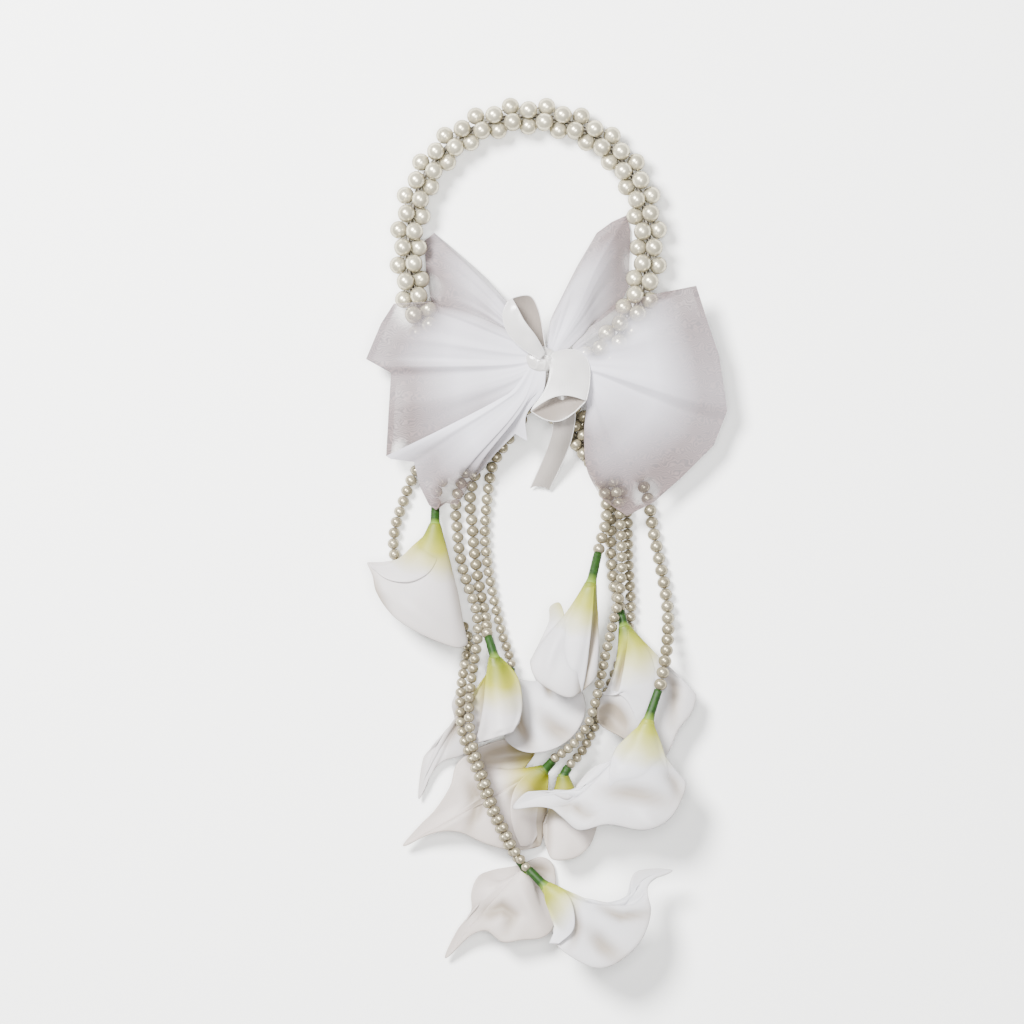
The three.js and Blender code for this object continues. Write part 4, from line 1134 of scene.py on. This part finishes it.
def stem(number):
    """A taped stem from the strand's last pearl to the neck, flared where it holds the spathe."""
    lilies = settings("lilies")
    sizes, places = STRANDS[number]
    pearl = place(*places[-1])
    neck, along, _, _ = axes_of(LILIES[number])
    first = (neck - pearl).normalized()
    start = pearl + first * (pearl_size(sizes[1]) / 2) * STEM_START
    end = neck + along * STEM_INTO_NECK
    middle = (start + end) / 2 + (first - along) * (end - start).length * STEM_BEND
    shape = Shape()
    shares = even_shares(16)
    rings = []
    for i, t in enumerate(shares):
        u = 1 - t
        centre = start * u * u + middle * 2 * u * t + end * t * t
        travel = (middle - start) * u + (end - middle) * t
        width = lilies.stem / 2 * between(*STEM_TAPER, t)
        flare = max(0, (t - STEM_FLARE_FROM) / (1 - STEM_FLARE_FROM)) ** 2
        width = between(width, lilies.neck / 2, flare)
        rings.append(roughened(
            ring_at(centre, travel, UP, width, 20), centre,
            lambda k, p: Vector((math.cos(k * 0.9) * 2, i * 0.35 + k * 0.25, number))))
    shape.grid(rings, round_columns=True, capped=True, values={"along": lambda r, c: shares[r]})
    made = shape.build(f"stem_{number}.tape", ("tape",))
    dress(made, lily_body(number), f"stem_{number}")


def spadix(number):
    """A flocked rod with round ends that stands in the spathe's throat."""
    flower = LILIES[number]
    lilies = settings("lilies")
    _, along, side, _ = axes_of(flower)
    throat = funnel_rows(flower, lilies.neck, 24, 25)[4]
    foot = sum(throat, Vector()) / len(throat) + along * 0.3 * MM
    shape = Shape()
    rings = []
    for t in even_shares(20):
        width = lilies.spadix / 2 * 0.95 * math.sqrt(max(0.02, 1 - (2 * abs(t - 0.5)) ** 5))
        centre = foot + along * lilies.spadix_length * t
        rings.append(roughened(ring_at(centre, along, side, width, 18), centre,
                               lambda k, p: p * GRAINS_A_METRE))
    shape.grid(rings, round_columns=True, capped=True)
    made = shape.build(f"spadix_{number}.flocked", ("spadix",))
    dress(made, lily_body(number), f"spadix_{number}")


def area_of(rows):
    """The area of a grid of points."""
    total = 0
    for above, below in zip(rows, rows[1:]):
        for c in range(len(above) - 1):
            total += (above[c + 1] - above[c]).cross(below[c] - above[c]).length / 2
            total += (below[c + 1] - below[c]).cross(below[c + 1] - above[c + 1]).length / 2
    return total


def declare_sheet(grids, length, width=0):
    """Works out how wide a sheet of cloth with the given length is cut, as its area needs; the
    width is not used further.
    """
    width = width or sum(area_of(rows) for rows in grids) / length


def corner_shares(places, spacing):
    """Shares of a cornered line's length at its corners and between them, no further apart than
    spacing."""
    points = [place(*p) for p in places]
    lengths = [(b - a).length for a, b in zip(points, points[1:])]
    total = sum(lengths)
    travelled = 0
    shares = []
    for span in lengths:
        parts = max(1, math.ceil(span / spacing))
        shares.extend((travelled + span * i / parts) / total for i in range(parts))
        travelled += span
    return [*shares, 1.0]


def table_at(table, share):
    where = share * (len(table) - 1)
    index = min(int(where), len(table) - 2)
    return between(table[index], table[index + 1], where - index)


def profile_at(profile, share):
    """The height of a creased profile at a share, from (share, height) corners."""
    for (start, low), (end, high) in zip(profile, profile[1:]):
        if share <= end:
            return low + (high - low) * (share - start) / (end - start)
    return profile[-1][1]


PANEL_STEPS = 54
PANEL_SPACING = 1.3 * MM

# How much of a panel lies flat at both sides, and its soft relief in places
PANEL_MARGIN = 1 / 12
GATHERS = 1.3
GATHERS_ACROSS = 18
BILLOW = 3
BILLOWS_A_METRE = 36


def panel_rows(panel, seed):
    """An organza panel's rows from its gather to its outline: crowned, creased and crinkled."""
    gather, outline = panel["gather"], panel["outline"]
    left, right = panel["sides"]
    shares = corner_shares(outline, PANEL_SPACING)
    rows = patch(Route(gather), Route(outline, steps=1), Route((gather[0], *left, outline[0])),
                 Route((gather[1], *right, outline[-1])), PANEL_STEPS, shares)
    for r, row in enumerate(rows):
        t = r / PANEL_STEPS
        for share, point in zip(shares, row):
            edge = min(1, share / PANEL_MARGIN, (1 - share) / PANEL_MARGIN)
            crown = panel["crown"] * math.sin(math.pi * t) * math.sin(math.pi * share) ** 0.5
            crease = profile_at(panel["folds"], share) * min(1, 2 * t) * (1 - 0.5 * t ** 2)
            gathers = (panel.get("gathers", GATHERS) * math.sin(math.pi * t ** 0.7) ** 2
                       * noise.noise(Vector((share * GATHERS_ACROSS, t * 1.1, seed))))
            billow = BILLOW * noise.noise(point * BILLOWS_A_METRE + Vector((seed, 0, 0))) * t
            point.z += PLACE * (crown + (crease + gathers + billow) * edge)
    return rows, shares


def organza_panel(name):
    panel = PANELS[name]
    rows, shares = panel_rows(panel, len(name))

    def dense(r, c):
        """How closely woven the panel looks: gathered near the knot, doubled in its hem."""
        near, middle, rim = (table_at(band, shares[c]) for band in panel["dense"])
        return table_at((near, near, (near + middle) / 2, middle, middle, (middle + rim) / 2, rim,
                         rim), r / PANEL_STEPS)

    def clear(r, c):
        """How plainly pearls show where a single layer lies tight over them."""
        at = rows[r][c].xy
        return max(math.exp(-((at - place(x, y, 0).xy).length / (radius * PLACE)) ** 4)
                   for x, y, radius in panel["shows"])

    shape = Shape()
    shape.grid(rows, values={"dense": dense, "clear": clear,
                             "hem": lambda r, c: float(r >= PANEL_STEPS - 1)})
    made = shape.build(f"organza_{name}.cloth", ("organza",))
    dress(made, "hoop", f"organza_{name}")
    declare_sheet([rows], (rows[-1][len(shares) // 2] - rows[0][0]).length)


STRIP_STEPS = 48
STRIP_COLUMNS = 14
SELVEDGE = 0.16 * MM


def strip_rows(strip, torn):
    """A strip of ribbon between its two edges, cupped, and sagging or torn at its end."""
    left, right = strip["edges"]
    shares = even_shares(STRIP_COLUMNS)
    start, end = (Route((left[i], right[i])) for i in (0, -1))
    rows = patch(start, end, Route(left), Route(right), STRIP_STEPS, shares)
    for r, row in enumerate(rows):
        t = r / STRIP_STEPS
        back = (row[0] - rows[r - 1][0]).normalized() if r else Vector()
        for c, point in enumerate(row):
            arch = math.sin(math.pi * shares[c])
            point.z += strip["bulge"] * PLACE * arch * math.sin(math.pi * (0.15 + 0.7 * t))
            point.y -= strip["sag"] * PLACE * arch * t ** 3
            point -= back * torn[c] * t ** 12
    return rows


def ribbon_strips(node):
    """The satin strips of one piece of the bow's ribbon, with a rolled selvedge on both edges."""
    ribbons = settings("ribbons")
    loose = node == "ribbon_tail"
    chance = random.Random("torn ribbon end")
    torn = [(1.5 * math.sin(math.pi * share) + chance.uniform(0, 0.8)) * MM if loose else 0.0
            for share in even_shares(STRIP_COLUMNS)]
    shape = Shape()
    grids = []
    for strip in SATIN_STRIPS[node]:
        rows = strip_rows(strip, torn)
        grids.append(rows)
        # Painted shade on each loop's inner strip, the one that bulges in; the loose end is painted
        # darker all over
        inside = 0.75 if loose else float(strip["bulge"] < 0)
        shape.grid(rows, values={"inside": lambda r, c: inside})
        cloth = len(shape.points)
        rolled = [[row[column] for row in rows] for column in (0, -1)]
        for edge in rolled if loose else (*rolled, rows[-1]):
            add_tube(shape, edge, SELVEDGE, sides=6)
        shape.values.setdefault("selvedge", {}).update(
            dict.fromkeys(range(cloth, len(shape.points)), 1.0))
    made = shape.build(f"{node}.satin", ("satin",))
    thicken(made, ribbons.satin_thickness, 0)
    dress(made, "hoop", node)
    length = sum((b[0] - a[0]).length for a, b in zip(grids[0], grids[0][1:]))
    declare_sheet(grids, length,
                  width=ribbons.satin_width if loose else 0)


# The binding's turns of satin: their pitch, the step at each lap and the depth of creases
BINDING_STEPS = 110
BINDING_SIDES = 72
BINDING_TURN = 5.5 * MM
BINDING_LAP = 0.45 * MM
BINDING_CREASE = 0.15 * MM

# The knot's pleats run into a tuck on its front, all as shares of its half size
KNOT_STEPS = 44
KNOT_SIDES = 96
PLEAT_DEPTH = 0.06
TUCK_AT = (0.25, 0.15)
TUCK_DEPTH = 0.2
TUCK_RADIUS = 0.16


def ribbon_binding():
    """Satin wound round the hoop's foot in overlapping turns, flat where it rests."""
    low, high = BINDING_BOX
    middle_y = (low.y + high.y) / 2
    middle_z = high.z - BINDING_RADIUS

    def ring(x, bottom, radius_at):
        points = []
        for k in range(BINDING_SIDES):
            angle = math.tau * k / BINDING_SIDES
            radius = radius_at(x, k, angle)
            points.append(Vector((x, middle_y + radius * math.sin(angle),
                                  max(bottom, middle_z + radius * math.cos(angle)))))
        return points

    def wound(x, k, angle):
        phase = ((x - low.x) / BINDING_TURN + 0.35 * math.sin(angle)) % 1
        crease = 1 + noise.noise(Vector((x * 300, k * 0.3, 2)))
        return BINDING_RADIUS - BINDING_LAP * (1 - phase) ** 2 - BINDING_CREASE * crease

    rows = [ring(low.x + (high.x - low.x) * i / BINDING_STEPS, low.z, wound)
            for i in range(BINDING_STEPS + 1)]
    rows += [ring(x, low.z + 0.2 * MM, lambda *_: BINDING_RADIUS - BINDING_WALL)
             for x in (high.x, low.x)]
    shape = Shape()
    shape.grid(rows, round_columns=True, round_rows=True)
    dress(shape.build("satin_binding", ("satin",)), "hoop", "hoop_binding")


def ribbon_knot():
    """The knot: a pleated satin band pulled tight round the bow's middle, with painted shade in its
    pleats and tuck.
    """
    centre = place(*KNOT["centre"])
    half = Vector(KNOT["half_size"]) * PLACE
    rings = []
    pinch_shades = []
    for i in range(1, KNOT_STEPS):
        angle = math.pi * i / KNOT_STEPS
        ring = []
        pinch_shade = []
        for k in range(KNOT_SIDES):
            turn = math.tau * k / KNOT_SIDES
            out = Vector((math.sin(angle) * math.cos(turn), math.sin(angle) * math.sin(turn),
                          math.cos(angle)))
            away = out.xy - Vector(TUCK_AT)
            pleats = abs(math.sin(4 * math.atan2(away.y, away.x) + 2 * noise.noise(out * 2)))
            pleats *= PLEAT_DEPTH * min(1, 2.5 * away.length)
            tuck = TUCK_DEPTH * math.exp(-(away.length / TUCK_RADIUS) ** 2) * max(0, out.z)
            # Painted shade: the deeper the tuck and pleats, the darker the satin is painted
            pinch_shade.append(min(1, 3.5 * tuck + 3 * pleats))
            ring.append(centre + out * half * (0.98 - pleats - tuck))
        rings.append(ring)
        pinch_shades.append(pinch_shade)
    shape = Shape()
    shape.grid(rings, round_columns=True, capped=True,
               values={"inside": lambda r, c: pinch_shades[r][c]})
    dress(shape.build("satin_knot", ("satin",)), "hoop", "ribbon_knot")


# Each light: its name, its offset from the board's centre and its size in metres, and its watts
LIGHTS = (("key_light", (-0.6, 0.6, 1.2), 0.5, 92.0),
          ("overhead_light", (0.1, -0.05, 1.7), 0.8, 46.0))
ROOM_COLOUR = "#F2F2F4"
ROOM_STRENGTH = 0.26
FLOOR_REACH = 3.0
FLOOR_HEIGHT = -0.6 * MM


def add_to_scene(name, data):
    made = bpy.data.objects.new(name, data)
    bpy.context.scene.collection.objects.link(made)
    return made


def camera():
    """Looks straight down on the board's centre, with the hoop at the top of the picture."""
    data = bpy.data.cameras.new("camera")
    data.lens = 240
    data.sensor_width = 36
    data.clip_start = 0.05
    made = add_to_scene("camera", data)
    made.location = (*BOARD_MIDDLE.xy, settings("stage").distance)
    bpy.context.scene.camera = made


def area_light(name, offset, size, power):
    """A soft light that faces the board's centre."""
    data = bpy.data.lights.new(name, "AREA")
    data.shape = "DISK"
    data.size = size
    data.energy = power
    made = add_to_scene(name, data)
    made.location = BOARD_MIDDLE + Vector(offset)
    made.rotation_euler = (-Vector(offset)).to_track_quat("-Z", "Y").to_euler()


def stage():
    """The floor, just below the corsage, with its lights and surroundings."""
    shape = Shape()
    shape.grid([[Vector((BOARD_MIDDLE.x + x, BOARD_MIDDLE.y + y, FLOOR_HEIGHT))
                 for x in (-FLOOR_REACH, FLOOR_REACH)] for y in (-FLOOR_REACH, FLOOR_REACH)])
    shape.build("floor", ("board",))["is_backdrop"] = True
    for light in LIGHTS:
        area_light(*light)
    world = bpy.data.worlds.new("soft_room")
    world.use_nodes = True
    inputs = world.node_tree.nodes["Background"].inputs
    inputs["Color"].default_value = (*linear(ROOM_COLOUR), 1)
    inputs["Strength"].default_value = ROOM_STRENGTH
    bpy.context.scene.world = world


class CORSAGE_OT_camera(bpy.types.Operator):
    """Add the camera straight above the corsage"""
    bl_idname = "corsage.camera"
    bl_label = "Add Camera"

    def execute(self, context):
        camera()
        return {"FINISHED"}


class CORSAGE_OT_strands(bpy.types.Operator):
    """Add the ten pearl strands"""
    bl_idname = "corsage.strands"
    bl_label = "Add Pearl Strands"

    def execute(self, context):
        for number in STRANDS:
            pearl_strand(number)
        return {"FINISHED"}


class CORSAGE_OT_hoop(bpy.types.Operator):
    """Add the pearl rope of the hoop and its core wire"""
    bl_idname = "corsage.hoop"
    bl_label = "Add Hoop"

    def execute(self, context):
        core_wire()
        for number in range(ROPE_STRINGS):
            hoop_string(number)
        return {"FINISHED"}


class CORSAGE_OT_ribbon(bpy.types.Operator):
    """Add the satin binding, knot, loops and loose end"""
    bl_idname = "corsage.ribbon"
    bl_label = "Add Satin Ribbon"

    def execute(self, context):
        ribbon_binding()
        ribbon_knot()
        for node in SATIN_STRIPS:
            ribbon_strips(node)
        return {"FINISHED"}


class CORSAGE_OT_organza(bpy.types.Operator):
    """Add the panels of the organza bow"""
    bl_idname = "corsage.organza"
    bl_label = "Add Organza Bow"

    def execute(self, context):
        for name in PANELS:
            organza_panel(name)
        return {"FINISHED"}


class CORSAGE_OT_lilies(bpy.types.Operator):
    """Add the ten lilies with their stems and spadices"""
    bl_idname = "corsage.lilies"
    bl_label = "Add Lilies"

    def execute(self, context):
        for number in LILIES:
            spathe(number)
            stem(number)
            spadix(number)
        return {"FINISHED"}


class CORSAGE_OT_stage(bpy.types.Operator):
    """Add the floor, the lights and the surroundings"""
    bl_idname = "corsage.stage"
    bl_label = "Add Stage"

    def execute(self, context):
        stage()
        return {"FINISHED"}


OPERATORS = (CORSAGE_OT_camera, CORSAGE_OT_strands, CORSAGE_OT_hoop, CORSAGE_OT_ribbon,
             CORSAGE_OT_organza, CORSAGE_OT_lilies, CORSAGE_OT_stage)
SETTINGS = {"pearls": PearlSettings, "ribbons": RibbonSettings, "lilies": LilySettings,
            "stage": StageSettings}


class CORSAGE_PT_panel(bpy.types.Panel):
    """Lists the corsage's pieces and settings"""
    bl_idname = "CORSAGE_PT_panel"
    bl_label = "Wrist Corsage"
    bl_space_type = "VIEW_3D"
    bl_region_type = "UI"
    bl_category = "Corsage"

    def draw(self, context):
        for operator in OPERATORS:
            self.layout.operator(operator.bl_idname)
        for name, group in SETTINGS.items():
            column = self.layout.column(heading=name.capitalize())
            for prop in group.__annotations__:
                column.prop(settings(name), prop)


def register():
    for cls in (*SETTINGS.values(), *OPERATORS, CORSAGE_PT_panel):
        bpy.utils.register_class(cls)
    for name, group in SETTINGS.items():
        setattr(bpy.types.Scene, "corsage_" + name, bpy.props.PointerProperty(type=group))


def unregister():
    for name in SETTINGS:
        delattr(bpy.types.Scene, "corsage_" + name)
    for cls in (CORSAGE_PT_panel, *reversed(OPERATORS), *reversed(SETTINGS.values())):
        bpy.utils.unregister_class(cls)


def corners(bounds):
    return [[float(v) for v in corner] for corner in bounds]


def main():
    register()
    bpy.ops.corsage.camera()
    bpy.ops.corsage.strands()
    bpy.ops.corsage.hoop()
    bpy.ops.corsage.ribbon()
    bpy.ops.corsage.organza()
    bpy.ops.corsage.lilies()
    bpy.ops.corsage.stage()
    {"cad": corners(CAD_BOUNDS), "visual": corners(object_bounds())}


if __name__ == "__main__":
    main()
